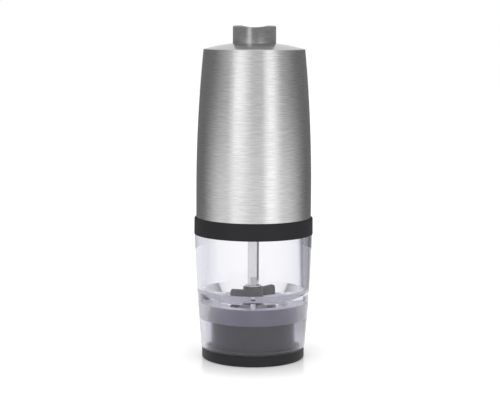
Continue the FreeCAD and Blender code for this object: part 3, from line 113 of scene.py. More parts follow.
SIDE_CARD_START = 104
SIDE_CARD_END = 176
SIDE_CARD_RADIUS = 0.12
SIDE_CARD_HEIGHT = 0.2
CARD_PALING = (176.0, 150.0)
CARD_BAND_EDGE = (158.0, 149.0)
CARD_BAND_FADE = (133.0, 142.0, 0.65, 1.0)
CARD_SHADE = (0.8, 0.8, 0.85)
DARK_BAND = (0.05, 0.05, 0.08)

# Materials

NOISE_MIDDLE = (0.3, 0.7)
BRUSH_FINENESS = 2600.0
BRUSH_LENGTH = 190.0
BRUSH_DETAIL = 4.0
BRUSH_RELIEF = 0.004 * MM
CLOUD_SCALE = 60.0
CLOUD_DETAIL = 2.0
GRAIN_SCALE = 2200.0
GRAIN_DETAIL = 2.0
GRAIN_RELIEF = 0.01 * MM
MOTTLE_SCALE = 45.0
MOTTLE_DETAIL = 3.0
RELIEF_STRENGTH = 0.3
FOIL_STRENGTH = 0.2
PLASTIC_IOR = 1.49
CROWN_FOOT = 156.2 * MM
CROWN_EDGE = 0.3 * MM
CROWN_POLISH = 0.65

# The mix node keeps its colours after its numbers and vectors.
COLOUR_A = 6
COLOUR_B = 7
COLOUR_RESULT = 2

# Pieces

GRINDER_SCREW_RING = 17.9 * MM
GEARBOX_SCREW_RING = 20.2 * MM
MOTOR_SCREW_RING = 8.0 * MM
CHASSIS_SCREW_RING = 22.4 * MM
CELL_RING = 19.0 * MM

JAR_FINISHES = ["clear_plastic", "frosted_skirt", "frosted_cone", "milky_floor"]
SKIRT_BORE = 24.2 * MM
SKIRT_SHOULDER = 7.8 * MM
HAIR = 0.1 * MM
SAME_HEIGHT = 0.01 * MM
FLOOR_LIFT = 0.05 * MM

HOLLOW_DEPTH = 0.9 * MM
HOLLOW_RADIUS = 22.5 * MM
HOLLOW_LENGTH = 30.0 * MM
HOLLOW_SIDES = 360

WELD_DISTANCE = 1e-7
WELD_DIGITS = 7
CREASE = 35.0
BUTTON_CREASE = 28.0

SPIRAL_POINTS = 40
WIRE_SIDES = 12
BURR_COIL = {"wire": 0.6 * MM, "first": 3.7 * MM, "last": 3.7 * MM, "turns": 3.0}
BUTTON_COIL = {"wire": 0.6 * MM, "first": 3.3 * MM, "last": 3.3 * MM, "turns": 6.0}
CELL_COIL = {"wire": 0.5 * MM, "first": 2.8 * MM, "last": 2.2 * MM, "turns": 2.5, "length": 3.2 * MM,
             "closing": 0.4}

SCREW_SIDES = 32
PAN_HEAD = {"Face Radius": 1.5 * MM, "Rim Radius": 1.95 * MM, "Rim Height": 0.6 * MM,
            "Seat Radius": 1.95 * MM}
SUNK_HEAD = {"Face Radius": 1.9 * MM, "Rim Radius": 1.95 * MM, "Rim Height": 0.06 * MM,
             "Seat Radius": 1.0 * MM}
HEAD_HEIGHT = 1.5 * MM
KNOB_HEAD_HEIGHT = 1.05 * MM
SHANK_RADIUS = 0.98 * MM
SEAT_STEP = 0.02 * MM
TIP_SHARE = 0.7
RECESS_WIDTH = 0.55 * MM
RECESS_DEPTH_SHARE = 1.1
RECESS_REACH_SHARE = 1.25


# Nodes


def fill(tree, socket, value):
    """Links a socket to another one, or sets it to a plain value."""
    if isinstance(value, bpy.types.NodeSocket):
        tree.links.new(value, socket)
    else:
        socket.default_value = value


def placed(tree, kind, **values):
    """A node of that kind with its inputs linked or set; underscores stand for spaces."""
    node = tree.nodes.new(kind)
    for label, value in values.items():
        fill(tree, node.inputs[label.replace("_", " ")], value)
    return node


def math_node(tree, operation, *values):
    """The result of one calculation."""
    node = tree.nodes.new("ShaderNodeMath")
    node.operation = operation
    for socket, value in zip(node.inputs, values):
        fill(tree, socket, value)
    return node.outputs[0]


def vector_of(tree, x=0.0, y=0.0, z=0.0):
    return placed(tree, "ShaderNodeCombineXYZ", X=x, Y=y, Z=z).outputs[0]


def ranged(tree, value, first, last, low, high):
    """A node that carries a value over from one range to another."""
    return placed(tree, "ShaderNodeMapRange", Value=value, From_Min=first, From_Max=last,
                  To_Min=low, To_Max=high)


def stepped(tree, value, first, last, low=0.0, high=1.0):
    """A smooth step of a value from low at first to high at last."""
    node = ranged(tree, value, first, last, low, high)
    node.interpolation_type = "SMOOTHSTEP"
    return node.outputs["Result"]


def spread(tree, mask, low, high):
    """Carries the middle of a noise mask over to a range."""
    return ranged(tree, mask, *NOISE_MIDDLE, low, high).outputs["Result"]


def between(tree, share, first, second):
    """The value that lies that share of the way from the first to the second."""
    gap = math_node(tree, "SUBTRACT", second, first)
    return math_node(tree, "ADD", first, math_node(tree, "MULTIPLY", share, gap))


def tint(tree, mask, dark, light):
    """A colour from dark to light, by the middle of a noise mask."""
    ramp = placed(tree, "ShaderNodeValToRGB", Fac=mask)
    for element, position, colour in zip(ramp.color_ramp.elements, NOISE_MIDDLE, (dark, light)):
        element.position = position
        element.color = (*colour, 1.0)
    return ramp.outputs["Color"]


def mixed(tree, mask, first, second):
    """One colour where the mask is 0 and another where it is 1."""
    node = tree.nodes.new("ShaderNodeMix")
    node.data_type = "RGBA"
    tree.links.new(mask, node.inputs["Factor"])
    for number, value in ((COLOUR_A, first), (COLOUR_B, second)):
        fill(tree, node.inputs[number], (*value, 1.0) if isinstance(value, tuple) else value)
    return node.outputs[COLOUR_RESULT]


def blended(tree, share, first, second):
    """One shader where the share is 0 and another where it is 1."""
    mix = placed(tree, "ShaderNodeMixShader", Fac=share)
    tree.links.new(first, mix.inputs[1])
    tree.links.new(second, mix.inputs[2])
    return mix.outputs[0]


def own_position(tree):
    """The x, y and z of a point on the object itself."""
    coords = tree.nodes.new("ShaderNodeTexCoord")
    split = tree.nodes.new("ShaderNodeSeparateXYZ")
    tree.links.new(coords.outputs["Object"], split.inputs[0])
    return split.outputs


def off_axis(tree, x, y):
    """The distance of a point from the mill's axis."""
    squares = [math_node(tree, "MULTIPLY", value, value) for value in (x, y)]
    return math_node(tree, "SQRT", math_node(tree, "ADD", *squares))


def turn_of_point(tree):
    """The angle of a point round the mill's axis, 0 on the camera's side and growing to its right."""
    x, y, _ = own_position(tree)
    return math_node(tree, "ARCTAN2", x, math_node(tree, "MULTIPLY", y, -1.0))


def fresh_material(name):
    """An empty node material with its output."""
    material = bpy.data.materials.new(name)
    material.use_nodes = True
    tree = material.node_tree
    tree.nodes.clear()
    output = tree.nodes.new("ShaderNodeOutputMaterial")
    return material, tree, output


# Camera and studio


def add_camera():
    """The camera stands where the proportions of the mill in the picture put it."""
    yaw = math.atan(AXIS_OFFSET_PIXELS / FOCAL_PIXELS)
    level = math.cos(yaw) * math.cos(CAMERA_PITCH)
    forward = Vector((-math.sin(yaw), level, -math.sin(CAMERA_PITCH))).normalized()
    right = forward.cross(Vector((0, 0, 1))).normalized()
    up = right.cross(forward)
    tilted_right = right * math.cos(CAMERA_ROLL) + up * math.sin(CAMERA_ROLL)
    tilted_up = up * math.cos(CAMERA_ROLL) - right * math.sin(CAMERA_ROLL)
    data = bpy.data.cameras.new("product_camera")
    data.sensor_width = SENSOR_WIDTH
    data.lens = FOCAL_PIXELS * data.sensor_width / IMAGE_WIDTH
    camera = bpy.data.objects.new("product_camera", data)
    turn = Matrix((tilted_right, tilted_up, -forward)).transposed().to_4x4()
    camera.matrix_world = Matrix.Translation((0, -CAMERA_DISTANCE, CAMERA_HEIGHT)) @ turn
    bpy.context.scene.collection.objects.link(camera)
    bpy.context.scene.camera = camera


def background_rays(tree):
    """1 for the rays that should see the plain white studio."""
    path = tree.nodes.new("ShaderNodeLightPath").outputs
    direct = math_node(tree, "MAXIMUM", path["Is Camera Ray"], path["Is Glossy Ray"])
    return math_node(tree, "MAXIMUM", direct, path["Is Transmission Ray"])


def add_world():
    """White where it is seen, and a little darker as the light of the room."""
    world = bpy.data.worlds.new("white_studio")
    world.use_nodes = True
    tree = world.node_tree
    tree.nodes.clear()
    output = tree.nodes.new("ShaderNodeOutputWorld")
    light, seen = [placed(tree, "ShaderNodeBackground", Color=(*WHITE, 1.0), Strength=strength).outputs[0]
                   for strength in (WORLD_LIGHT, WORLD_SEEN)]
    tree.links.new(blended(tree, background_rays(tree), light, seen), output.inputs["Surface"])
    bpy.context.scene.world = world


def add_light(name, degrees, watts):
    """A soft box at that angle from the camera's side, turned to the mill."""
    data = bpy.data.lights.new(name, "AREA")
    data.shape = "RECTANGLE"
    data.size = LAMP_WIDTH
    data.size_y = LAMP_TALL
    data.energy = watts
    light = bpy.data.objects.new(name, data)
    turn = math.radians(degrees)
    place = Vector((math.sin(turn) * LAMP_DISTANCE, -math.cos(turn) * LAMP_DISTANCE, LAMP_HEIGHT))
    aim = Vector((0, 0, LAMP_AIM)) - place
    light.location = place
    light.rotation_mode = "QUATERNION"
    light.rotation_quaternion = aim.to_track_quat("-Z", "Y")
    light.visible_camera = False
    light.visible_glossy = False
    light.visible_transmission = False
    bpy.context.scene.collection.objects.link(light)


def mesh_object(name, points, faces, smooth=False):
    mesh = bpy.data.meshes.new(name)
    mesh.from_pydata(points, [], faces)
    for polygon in mesh.polygons:
        polygon.use_smooth = smooth
    mesh.update()
    thing = bpy.data.objects.new(name, mesh)
    bpy.context.scene.collection.objects.link(thing)
    return thing


def curved_wall(name, first, last, radius, low, high):
    """A curved studio wall between two angles in degrees, unseen by the camera and casting no shadow.

    Returns the wall, and the tree and output of its material.
    """
    points = []
    for step in range(WALL_STEPS + 1):
        turn = math.radians(first + (last - first) * step / WALL_STEPS)
        points += [(math.sin(turn) * radius, -math.cos(turn) * radius, z) for z in (low, high)]
    faces = [(2 * s, 2 * s + 1, 2 * s + 3, 2 * s + 2) for s in range(WALL_STEPS)]
    wall = mesh_object(name, points, faces, True)
    wall.visible_camera = False
    wall.visible_diffuse = False
    wall.visible_shadow = False
    wall.visible_volume_scatter = False
    material, tree, output = fresh_material(name)
    wall.data.materials.append(material)
    return wall, tree, output


def bright_strip(tree, turn, inner_foot, inner_head, outer_head, outer_foot):
    """A strip between angles in degrees: its inner edge rises and its outer edge falls."""
    inner = stepped(tree, turn, math.radians(inner_foot), math.radians(inner_head))
    outer = stepped(tree, turn, math.radians(outer_foot), math.radians(outer_head))
    return math_node(tree, "MULTIPLY", inner, outer)


def add_light_tent():
    """The white tent that the metal mirrors: two bright strips in front, falling off to the sides."""
    tent, tree, output = curved_wall("light_tent", -180, 180, TENT_RADIUS, 0.0, TENT_HEIGHT)
    tent.visible_transmission = False
    turn = turn_of_point(tree)
    z = own_position(tree)[2]
    leaned = math_node(tree, "ADD", turn, TENT_LEAN)
    right_fall = math_node(tree, "MULTIPLY", leaned, TENT_STRETCH * DEGREES)
    left_fall = math_node(tree, "MULTIPLY", leaned, -DEGREES)
    fall = math_node(tree, "MAXIMUM", right_fall, left_fall)
    strips = [bright_strip(tree, turn, *strip) for strip in (LEFT_STRIP, RIGHT_STRIP)]
    strip = math_node(tree, "MAXIMUM", *strips)
    upper_strip = math_node(tree, "MULTIPLY", strip, UPPER_GAIN)
    upper = math_node(tree, "ADD", stepped(tree, fall, *UPPER_FALL), upper_strip)
    lower_strip = math_node(tree, "MULTIPLY", strip, stepped(tree, turn, *LOWER_GAIN))
    lower = math_node(tree, "ADD", stepped(tree, fall, *LOWER_FALL), lower_strip)
    wall = between(tree, stepped(tree, z, *WALL_RISE), lower, upper)
    roofed = between(tree, stepped(tree, z, *ROOF_RISE), wall, ROOF_SHADE)
    straight_behind = stepped(tree, math_node(tree, "ABSOLUTE", turn), *BACK_EDGE)
    shade = between(tree, straight_behind, roofed, stepped(tree, z, *BACK_SHADE))
    glow = placed(tree, "ShaderNodeEmission", Strength=shade)
    tree.links.new(glow.outputs[0], output.inputs["Surface"])


def add_button_card():
    """A grey card with one narrow light slot, mirrored only by the side of the button."""
    card, tree, output = curved_wall("button_card", -BUTTON_CARD_TURN, BUTTON_CARD_TURN, BUTTON_CARD_RADIUS,
                                     BUTTON_CARD_LOW, BUTTON_CARD_HIGH)
    card.visible_transmission = False
    slot = bright_strip(tree, turn_of_point(tree), *BUTTON_SLOT)
    slot_light = math_node(tree, "MULTIPLY", slot, BUTTON_SLOT_GAIN)
    glow = placed(tree, "ShaderNodeEmission", Strength=math_node(tree, "ADD", slot_light, BUTTON_CARD_SHADE))
    path = tree.nodes.new("ShaderNodeLightPath")
    far_off = stepped(tree, path.outputs["Ray Length"], *BUTTON_CARD_REACH)
    unseen = tree.nodes.new("ShaderNodeBsdfTransparent")
    tree.links.new(blended(tree, far_off, unseen.outputs[0], glow.outputs[0]), output.inputs["Surface"])


def add_side_card(name, side, band):
    """A card close behind the mill, seen only through the bend of the jar's wall.

    It fades from white behind the jar to a pale shade, with one band of its own shade.
    """
    card, tree, output = curved_wall(name, side * SIDE_CARD_START, side * SIDE_CARD_END, SIDE_CARD_RADIUS,
                                     0.0, SIDE_CARD_HEIGHT)
    card.visible_glossy = False
    turned = math_node(tree, "ABSOLUTE", math_node(tree, "MULTIPLY", turn_of_point(tree), DEGREES))
    paled = mixed(tree, stepped(tree, turned, *CARD_PALING), WHITE, CARD_SHADE)
    banded = math_node(tree, "MULTIPLY", stepped(tree, turned, *CARD_BAND_EDGE),
                       stepped(tree, turned, *CARD_BAND_FADE))
    glow = placed(tree, "ShaderNodeEmission", Color=mixed(tree, banded, paled, band))
    tree.links.new(glow.outputs[0], output.inputs["Surface"])


def add_floor():
    """A matt white table that shines a little close to the mill."""
    corners = [(x * FLOOR_HALF, y * FLOOR_HALF, 0) for x, y in ((-1, -1), (1, -1), (1, 1), (-1, 1))]
    floor = mesh_object("floor", corners, [(0, 1, 2, 3)])
    material, tree, output = fresh_material("white_table")
    path = tree.nodes.new("ShaderNodeLightPath").outputs
    lit, shown = [placed(tree, "ShaderNodeBsdfDiffuse", Color=(shade, shade, shade, 1.0)).outputs[0]
                  for shade in (FLOOR_LIT, FLOOR_SEEN)]
    white = tree.nodes.new("ShaderNodeEmission").outputs[0]
    sheen = placed(tree, "ShaderNodeBsdfGlossy", Roughness=FLOOR_SHEEN).outputs[0]
    x, y, _ = own_position(tree)
    polish = stepped(tree, off_axis(tree, x, y), *FLOOR_POLISH)
    mirrored = math_node(tree, "MAXIMUM", path["Is Glossy Ray"], path["Is Transmission Ray"])
    seen = blended(tree, polish, shown, sheen)
    unseen = blended(tree, mirrored, lit, white)
    tree.links.new(blended(tree, path["Is Camera Ray"], unseen, seen), output.inputs["Surface"])
    floor.data.materials.append(material)


def add_studio():
    add_world()
    add_floor()
    add_light("left_softbox", degrees=-29, watts=2.7)
    add_light("right_softbox", degrees=33, watts=1.8)
    add_light_tent()
    add_button_card()
    add_side_card("right_card", 1, DARK_BAND)
    add_side_card("left_card", -1, CARD_SHADE)


# Shader groups


def new_group(name, inputs, outputs):
    group = bpy.data.node_groups.new(name, "ShaderNodeTree")
    for label, default in inputs:
        socket = group.interface.new_socket(label, in_out="INPUT", socket_type="NodeSocketFloat")
        socket.default_value = default
    for label in outputs:
        group.interface.new_socket(label, in_out="OUTPUT", socket_type="NodeSocketFloat")
    return group, group.nodes.new("NodeGroupInput").outputs, group.nodes.new("NodeGroupOutput").inputs


def noise(tree, place, scale, detail):
    return placed(tree, "ShaderNodeTexNoise", Vector=place, Scale=scale, Detail=detail).outputs["Fac"]


def spun_brushing_group():
    """Fine lines round the axis, along the side and across the top alike."""
    group, given, result = new_group(
        "SpunBrushing", [("Fineness", BRUSH_FINENESS), ("Length", BRUSH_LENGTH)], ["Streaks", "Cloud"])
    coords = group.nodes.new("ShaderNodeTexCoord").outputs["Object"]
    x, y, z = own_position(group)
    along = math_node(group, "SUBTRACT", z, off_axis(group, x, y))
    drawn_out = vector_of(group, math_node(group, "MULTIPLY", x, given["Length"]),
                          math_node(group, "MULTIPLY", y, given["Length"]),
                          math_node(group, "MULTIPLY", along, given["Fineness"]))
    group.links.new(noise(group, drawn_out, 1.0, BRUSH_DETAIL), result["Streaks"])
    group.links.new(noise(group, coords, CLOUD_SCALE, CLOUD_DETAIL), result["Cloud"])
    return group


def moulded_grain_group():
    """The faint grain and mottle of a moulded surface."""
    group, given, result = new_group(
        "MouldedGrain", [("Grain", GRAIN_SCALE), ("Mottle", MOTTLE_SCALE)], ["Height", "Mottle"])
    coords = group.nodes.new("ShaderNodeTexCoord").outputs["Object"]
    group.links.new(noise(group, coords, given["Grain"], GRAIN_DETAIL), result["Height"])
    group.links.new(noise(group, coords, given["Mottle"], MOTTLE_DETAIL), result["Mottle"])
    return group


SPUN = spun_brushing_group()
GRAIN = moulded_grain_group()


# Materials


def use_group(tree, group, **values):
    """The outputs of a shader group with those inputs."""
    node = tree.nodes.new("ShaderNodeGroup")
    node.node_tree = group
    for label, value in values.items():
        node.inputs[label].default_value = value
    return node.outputs


def bump(tree, height, relief, strength=RELIEF_STRENGTH):
    node = placed(tree, "ShaderNodeBump", Strength=strength, Distance=relief, Height=height)
    return node.outputs["Normal"]


def edge_on(tree, first, last):
    """A step from 0 where a wall faces the eye to 1 where it is seen edge on."""
    grazing = placed(tree, "ShaderNodeLayerWeight", Blend=0.5)
    return stepped(tree, grazing.outputs["Facing"], first, last)


def principled(tree, output, **values):
    shader = placed(tree, "ShaderNodeBsdfPrincipled", **values)
    tree.links.new(shader.outputs["BSDF"], output.inputs["Surface"])


def brushed_metal(name, dark, light, rough, fineness=BRUSH_FINENESS, crown=None):
    """Brushed metal; where a crown height is given, it is polished smoother above that."""
    material, tree, output = fresh_material(name)
    brushing = use_group(tree, SPUN, Fineness=fineness)
    roughness = spread(tree, brushing["Cloud"], *rough)
    if crown is not None:
        polish = stepped(tree, own_position(tree)[2], crown, crown + CROWN_EDGE, 1.0, CROWN_POLISH)
        roughness = math_node(tree, "MULTIPLY", roughness, polish)
    principled(tree, output, Metallic=1.0, Roughness=roughness,
               Base_Color=tint(tree, brushing["Streaks"], dark, light),
               Normal=bump(tree, brushing["Streaks"], BRUSH_RELIEF))
    return material


def moulded_plastic(name, dark, light, rough, grain=GRAIN_SCALE, relief=GRAIN_RELIEF, gloss=0.5):
    material, tree, output = fresh_material(name)
    texture = use_group(tree, GRAIN, Grain=grain)
    principled(tree, output, Specular_IOR_Level=gloss, Roughness=spread(tree, texture["Mottle"], *rough),
               Base_Color=tint(tree, texture["Mottle"], dark, light),
               Normal=bump(tree, texture["Height"], relief))
    return material


def clear_plastic():
    """Clear walls that take a faint tint where they are seen edge on."""
    material, tree, output = fresh_material("clear_plastic")
    mottle = use_group(tree, GRAIN, Grain=300.0, Mottle=30.0)["Mottle"]
    clear = tint(tree, mottle, (0.97, 0.97, 0.988), (0.98, 0.98, 0.995))
    principled(tree, output, Transmission_Weight=1.0, IOR=PLASTIC_IOR,
               Base_Color=mixed(tree, edge_on(tree, 0.25, 1.0), clear, (0.86, 0.86, 0.93)),
               Roughness=spread(tree, mottle, 0.0, 0.008))
    return material


def frosted_plastic(name, clearness, dark, light, rim, rough):
    """The milky, eroded inside of the jar round the grinder; rim is its colour seen edge on, painted light
    on the cone.
    """
    material, tree, output = fresh_material(name)
    texture = use_group(tree, GRAIN, Grain=2600.0, Mottle=120.0)
    facing = tint(tree, texture["Mottle"], dark, light)
    principled(tree, output, Transmission_Weight=clearness, IOR=PLASTIC_IOR,
               Base_Color=mixed(tree, edge_on(tree, 0.1, 0.6), facing, rim),
               Roughness=spread(tree, texture["Mottle"], *rough),
               Normal=bump(tree, texture["Height"], GRAIN_RELIEF))
    return material


def cell_jacket():
    """A printed foil jacket with bare metal at both ends of each cell."""
    low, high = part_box("cells")
    material, tree, output = fresh_material("cell_jacket")
    z = own_position(tree)[2]
    lower_end = stepped(tree, z, low.z + 2.0 * MM, low.z + 1.8 * MM)
    upper_end = stepped(tree, z, high.z - 2.4 * MM, high.z - 2.2 * MM)
    bare = math_node(tree, "MAXIMUM", lower_end, upper_end)
    texture = use_group(tree, GRAIN, Grain=1500.0)
    foil = tint(tree, texture["Mottle"], (0.16, 0.2, 0.25), (0.2, 0.24, 0.29))
    band = stepped(tree, z, high.z - 12.0 * MM, high.z - 11.8 * MM)
    two_tone = mixed(tree, band, foil, (0.55, 0.4, 0.2))
    principled(tree, output, Metallic=bare, Roughness=spread(tree, texture["Mottle"], 0.28, 0.36),
               Base_Color=mixed(tree, bare, two_tone, (0.7, 0.7, 0.71)),
               Normal=bump(tree, texture["Height"], BRUSH_RELIEF, FOIL_STRENGTH))
    return material


# Each finish has a dark and a light shade and a range of roughness.

METALS = {
    "brushed_steel": {"dark": (0.545, 0.545, 0.55), "light": (0.695, 0.695, 0.7), "rough": (0.19, 0.24),
                      "crown": CROWN_FOOT},
    # painted shade: the button's steel is a darker copy of the shell's steel, for the darker surroundings
    # that its side mirrors
    "shaded_button_steel": {"dark": (0.36, 0.36, 0.365), "light": (0.45, 0.45, 0.455), "rough": (0.22, 0.28)},
    "bright_steel": {"dark": (0.57, 0.57, 0.58), "light": (0.63, 0.63, 0.64), "rough": (0.2, 0.28)},
    "shaft_steel": {"dark": (0.7, 0.7, 0.715), "light": (0.76, 0.76, 0.77), "rough": (0.2, 0.28)},
    "spring_steel": {"dark": (0.42, 0.42, 0.44), "light": (0.55, 0.55, 0.56), "rough": (0.22, 0.32),
                     "fineness": 1800.0},
    "plated_steel": {"dark": (0.55, 0.56, 0.57), "light": (0.66, 0.66, 0.66), "rough": (0.28, 0.42),
                     "fineness": 1400.0},
    "contact_brass": {"dark": (0.62, 0.44, 0.16), "light": (0.75, 0.56, 0.24), "rough": (0.22, 0.34),
                      "fineness": 1800.0},
}

PLASTICS = {
    "black_plastic": {"dark": (0.009, 0.0085, 0.011), "light": (0.0115, 0.011, 0.0135),
                      "rough": (0.5, 0.56), "gloss": 0.3},
    "cup_plastic": {"dark": (0.01, 0.0085, 0.018), "light": (0.014, 0.012, 0.024),
                    "rough": (0.42, 0.5), "gloss": 0.3},
    "dark_plastic": {"dark": (0.047, 0.044, 0.058), "light": (0.06, 0.056, 0.072), "rough": (0.42, 0.5)},
    "inner_plastic": {"dark": (0.04, 0.04, 0.043), "light": (0.055, 0.055, 0.058), "rough": (0.45, 0.56)},
    "gear_plastic": {"dark": (0.74, 0.73, 0.68), "light": (0.82, 0.81, 0.76), "rough": (0.38, 0.48)},
    "burr_ceramic": {"dark": (0.26, 0.25, 0.26), "light": (0.33, 0.32, 0.33), "rough": (0.5, 0.65),
                     "grain": 900.0, "relief": 0.03 * MM},
    "seal_rubber": {"dark": (0.55, 0.55, 0.56), "light": (0.64, 0.64, 0.65), "rough": (0.5, 0.6)},
    "lead_sleeve": {"dark": (0.4, 0.035, 0.03), "light": (0.5, 0.05, 0.04), "rough": (0.4, 0.5)},
}

FROSTED = {
    "frosted_skirt": {"clearness": 0.995, "dark": (0.78, 0.76, 0.9), "light": (0.84, 0.82, 0.96),
                      "rim": (0.6, 0.58, 0.64), "rough": (0.18, 0.21)},
    # painted light and shade: the cone is near white where seen edge on and dark where it faces the eye, so
    # its sides are painted lighter than its middle
    "frosted_cone": {"clearness": 0.66, "dark": (0.33, 0.32, 0.45), "light": (0.39, 0.38, 0.52),
                     "rim": (1.0, 0.98, 1.0), "rough": (0.34, 0.44)},
    "milky_floor": {"clearness": 0.04, "dark": (0.8, 0.78, 1.0), "light": (0.88, 0.86, 1.0),
                    "rim": (0.88, 0.86, 1.0), "rough": (0.3, 0.4)},
}

NODES_OF_FINISH = {
    "brushed_steel": ["steel_shell"],
    "shaded_button_steel": ["button_cap"],
    "shaft_steel": ["drive_shaft"],
    "bright_steel": ["adjuster_screw", "output_pins", "first_pins", "motor_shaft"],
    "spring_steel": ["spring_clip", "burr_spring", "button_spring", "cell_springs"],
    "plated_steel": ["housing_screws", "knob_screw", "gearbox_screws", "motor_screws", "chassis_screws",
                     "motor_plate", "motor_can", "cell_plates"],
    "contact_brass": ["contact_bridge", "switch_contacts", "motor_terminals", "motor_pinion"],
    "black_plastic": ["collar", "foot_ring", "grind_knob"],
    "cup_plastic": ["grinder_housing"],
    "dark_plastic": ["feed_paddle"],
    "inner_plastic": ["burr_lifter", "button_plunger", "gearbox_case", "motor_end_cap", "chassis"],
    "gear_plastic": ["output_carrier", "first_carrier", "slow_planet_1", "slow_planet_2", "slow_planet_3",
                     "fast_planet_1", "fast_planet_2", "fast_planet_3"],
    "burr_ceramic": ["burr_ring", "inner_burr"],
    "seal_rubber": ["jar_seal"],
    "lead_sleeve": ["motor_leads"],
    "cell_jacket": ["cells"],
    "clear_plastic": ["clear_jar"],
}


def make_finishes():
    finishes = {"cell_jacket": cell_jacket(), "clear_plastic": clear_plastic()}
    for make, looks in ((brushed_metal, METALS), (moulded_plastic, PLASTICS), (frosted_plastic, FROSTED)):
        for name, look in looks.items():
            finishes[name] = make(name, **look)
    return finishes


def dress_nodes(finishes):
    for finish, names in NODES_OF_FINISH.items():
        for name in names:
            mesh = nodes_of_mill[name].data
            mesh.materials.clear()
            mesh.materials.append(finishes[finish])


# Trees for the pieces that repeat

RING_INPUTS = ["Ring Radius", "Count", "First Angle", "Height", "Upside Down", "Finish"]
INPUT_KINDS = {"Count": "NodeSocketInt", "Finish": "NodeSocketMaterial"}


def new_tree(name, labels):
    """A tree of geometry nodes with those inputs and the inputs of a ring; returns it with all of them."""
    tree = bpy.data.node_groups.new(name, "GeometryNodeTree")
    tree.is_modifier = True
    for label in labels + RING_INPUTS:
        kind = INPUT_KINDS.get(label, "NodeSocketFloat")
        tree.interface.new_socket(label, in_out="INPUT", socket_type=kind)
    tree.interface.new_socket("Shape", in_out="OUTPUT", socket_type="NodeSocketGeometry")
    return tree, tree.nodes.new("NodeGroupInput").outputs


def round_the_axis(tree, given):
    """Points on a ring round the mill's axis, at the given height."""
    index = tree.nodes.new("GeometryNodeInputIndex").outputs[0]
    step = math_node(tree, "DIVIDE", 2 * math.pi, given["Count"])
    angle = math_node(tree, "ADD", math_node(tree, "MULTIPLY", index, step), given["First Angle"])
    x = math_node(tree, "MULTIPLY", math_node(tree, "COSINE", angle), given["Ring Radius"])
    y = math_node(tree, "MULTIPLY", math_node(tree, "SINE", angle), given["Ring Radius"])
    place = vector_of(tree, x, y, given["Height"])
    return placed(tree, "GeometryNodePoints", Count=given["Count"], Position=place).outputs[0]


def spread_and_finish(tree, given, shape):
    """Sets the shape on each point of the ring, upside down where asked, and gives it its finish."""
    tilt = vector_of(tree, x=math_node(tree, "MULTIPLY", given["Upside Down"], math.pi))
    tip = placed(tree, "FunctionNodeEulerToRotation", Euler=tilt)
    spaced = placed(tree, "GeometryNodeInstanceOnPoints", Points=round_the_axis(tree, given),
                    Instance=shape, Rotation=tip.outputs[0])
    whole = placed(tree, "GeometryNodeRealizeInstances", Geometry=spaced.outputs[0])
    finished = placed(tree, "GeometryNodeSetMaterial", Geometry=whole.outputs[0], Material=given["Finish"])
    output = tree.nodes.new("NodeGroupOutput")
    tree.links.new(finished.outputs[0], output.inputs[0])


def wound_spring_tree():
    """Coil springs whose turns draw together at both ends."""
    tree, given = new_tree("WoundSprings", [
        "Wire Radius", "First Radius", "Last Radius", "Length", "Turns", "Closing"])
    wire_width = math_node(tree, "MULTIPLY", given["Wire Radius"], 2.0)
    rise = math_node(tree, "SUBTRACT", given["Length"], wire_width)
    spiral = placed(tree, "GeometryNodeCurveSpiral", Resolution=SPIRAL_POINTS, Rotations=given["Turns"],
                    Start_Radius=given["First Radius"], End_Radius=given["Last Radius"], Height=rise)
    share = tree.nodes.new("GeometryNodeSplineParameter").outputs["Factor"]
    eased = stepped(tree, share, 0.0, 1.0)
    change = math_node(tree, "MULTIPLY", math_node(tree, "SUBTRACT", eased, share), given["Closing"])
    lift = math_node(tree, "ADD", math_node(tree, "MULTIPLY", change, rise), given["Wire Radius"])
    path = placed(tree, "GeometryNodeSetPosition", Geometry=spiral.outputs[0],
                  Offset=vector_of(tree, z=lift))
    section = placed(tree, "GeometryNodeCurvePrimitiveCircle", Resolution=WIRE_SIDES,
                     Radius=given["Wire Radius"])
    wire = placed(tree, "GeometryNodeCurveToMesh", Curve=path.outputs[0], Profile_Curve=section.outputs[0],
                  Fill_Caps=True)
    spread_and_finish(tree, given, wire.outputs[0])
    return tree


def chosen(tree, values):
    """One of several values, by the number of the point."""
    node = tree.nodes.new("GeometryNodeIndexSwitch")
    node.data_type = "FLOAT"
    while len(node.index_switch_items) < len(values):
        node.index_switch_items.new()
    tree.links.new(tree.nodes.new("GeometryNodeInputIndex").outputs[0], node.inputs["Index"])
    for number, value in enumerate(values):
        fill(tree, node.inputs[number + 1], value)
    return node.outputs[0]


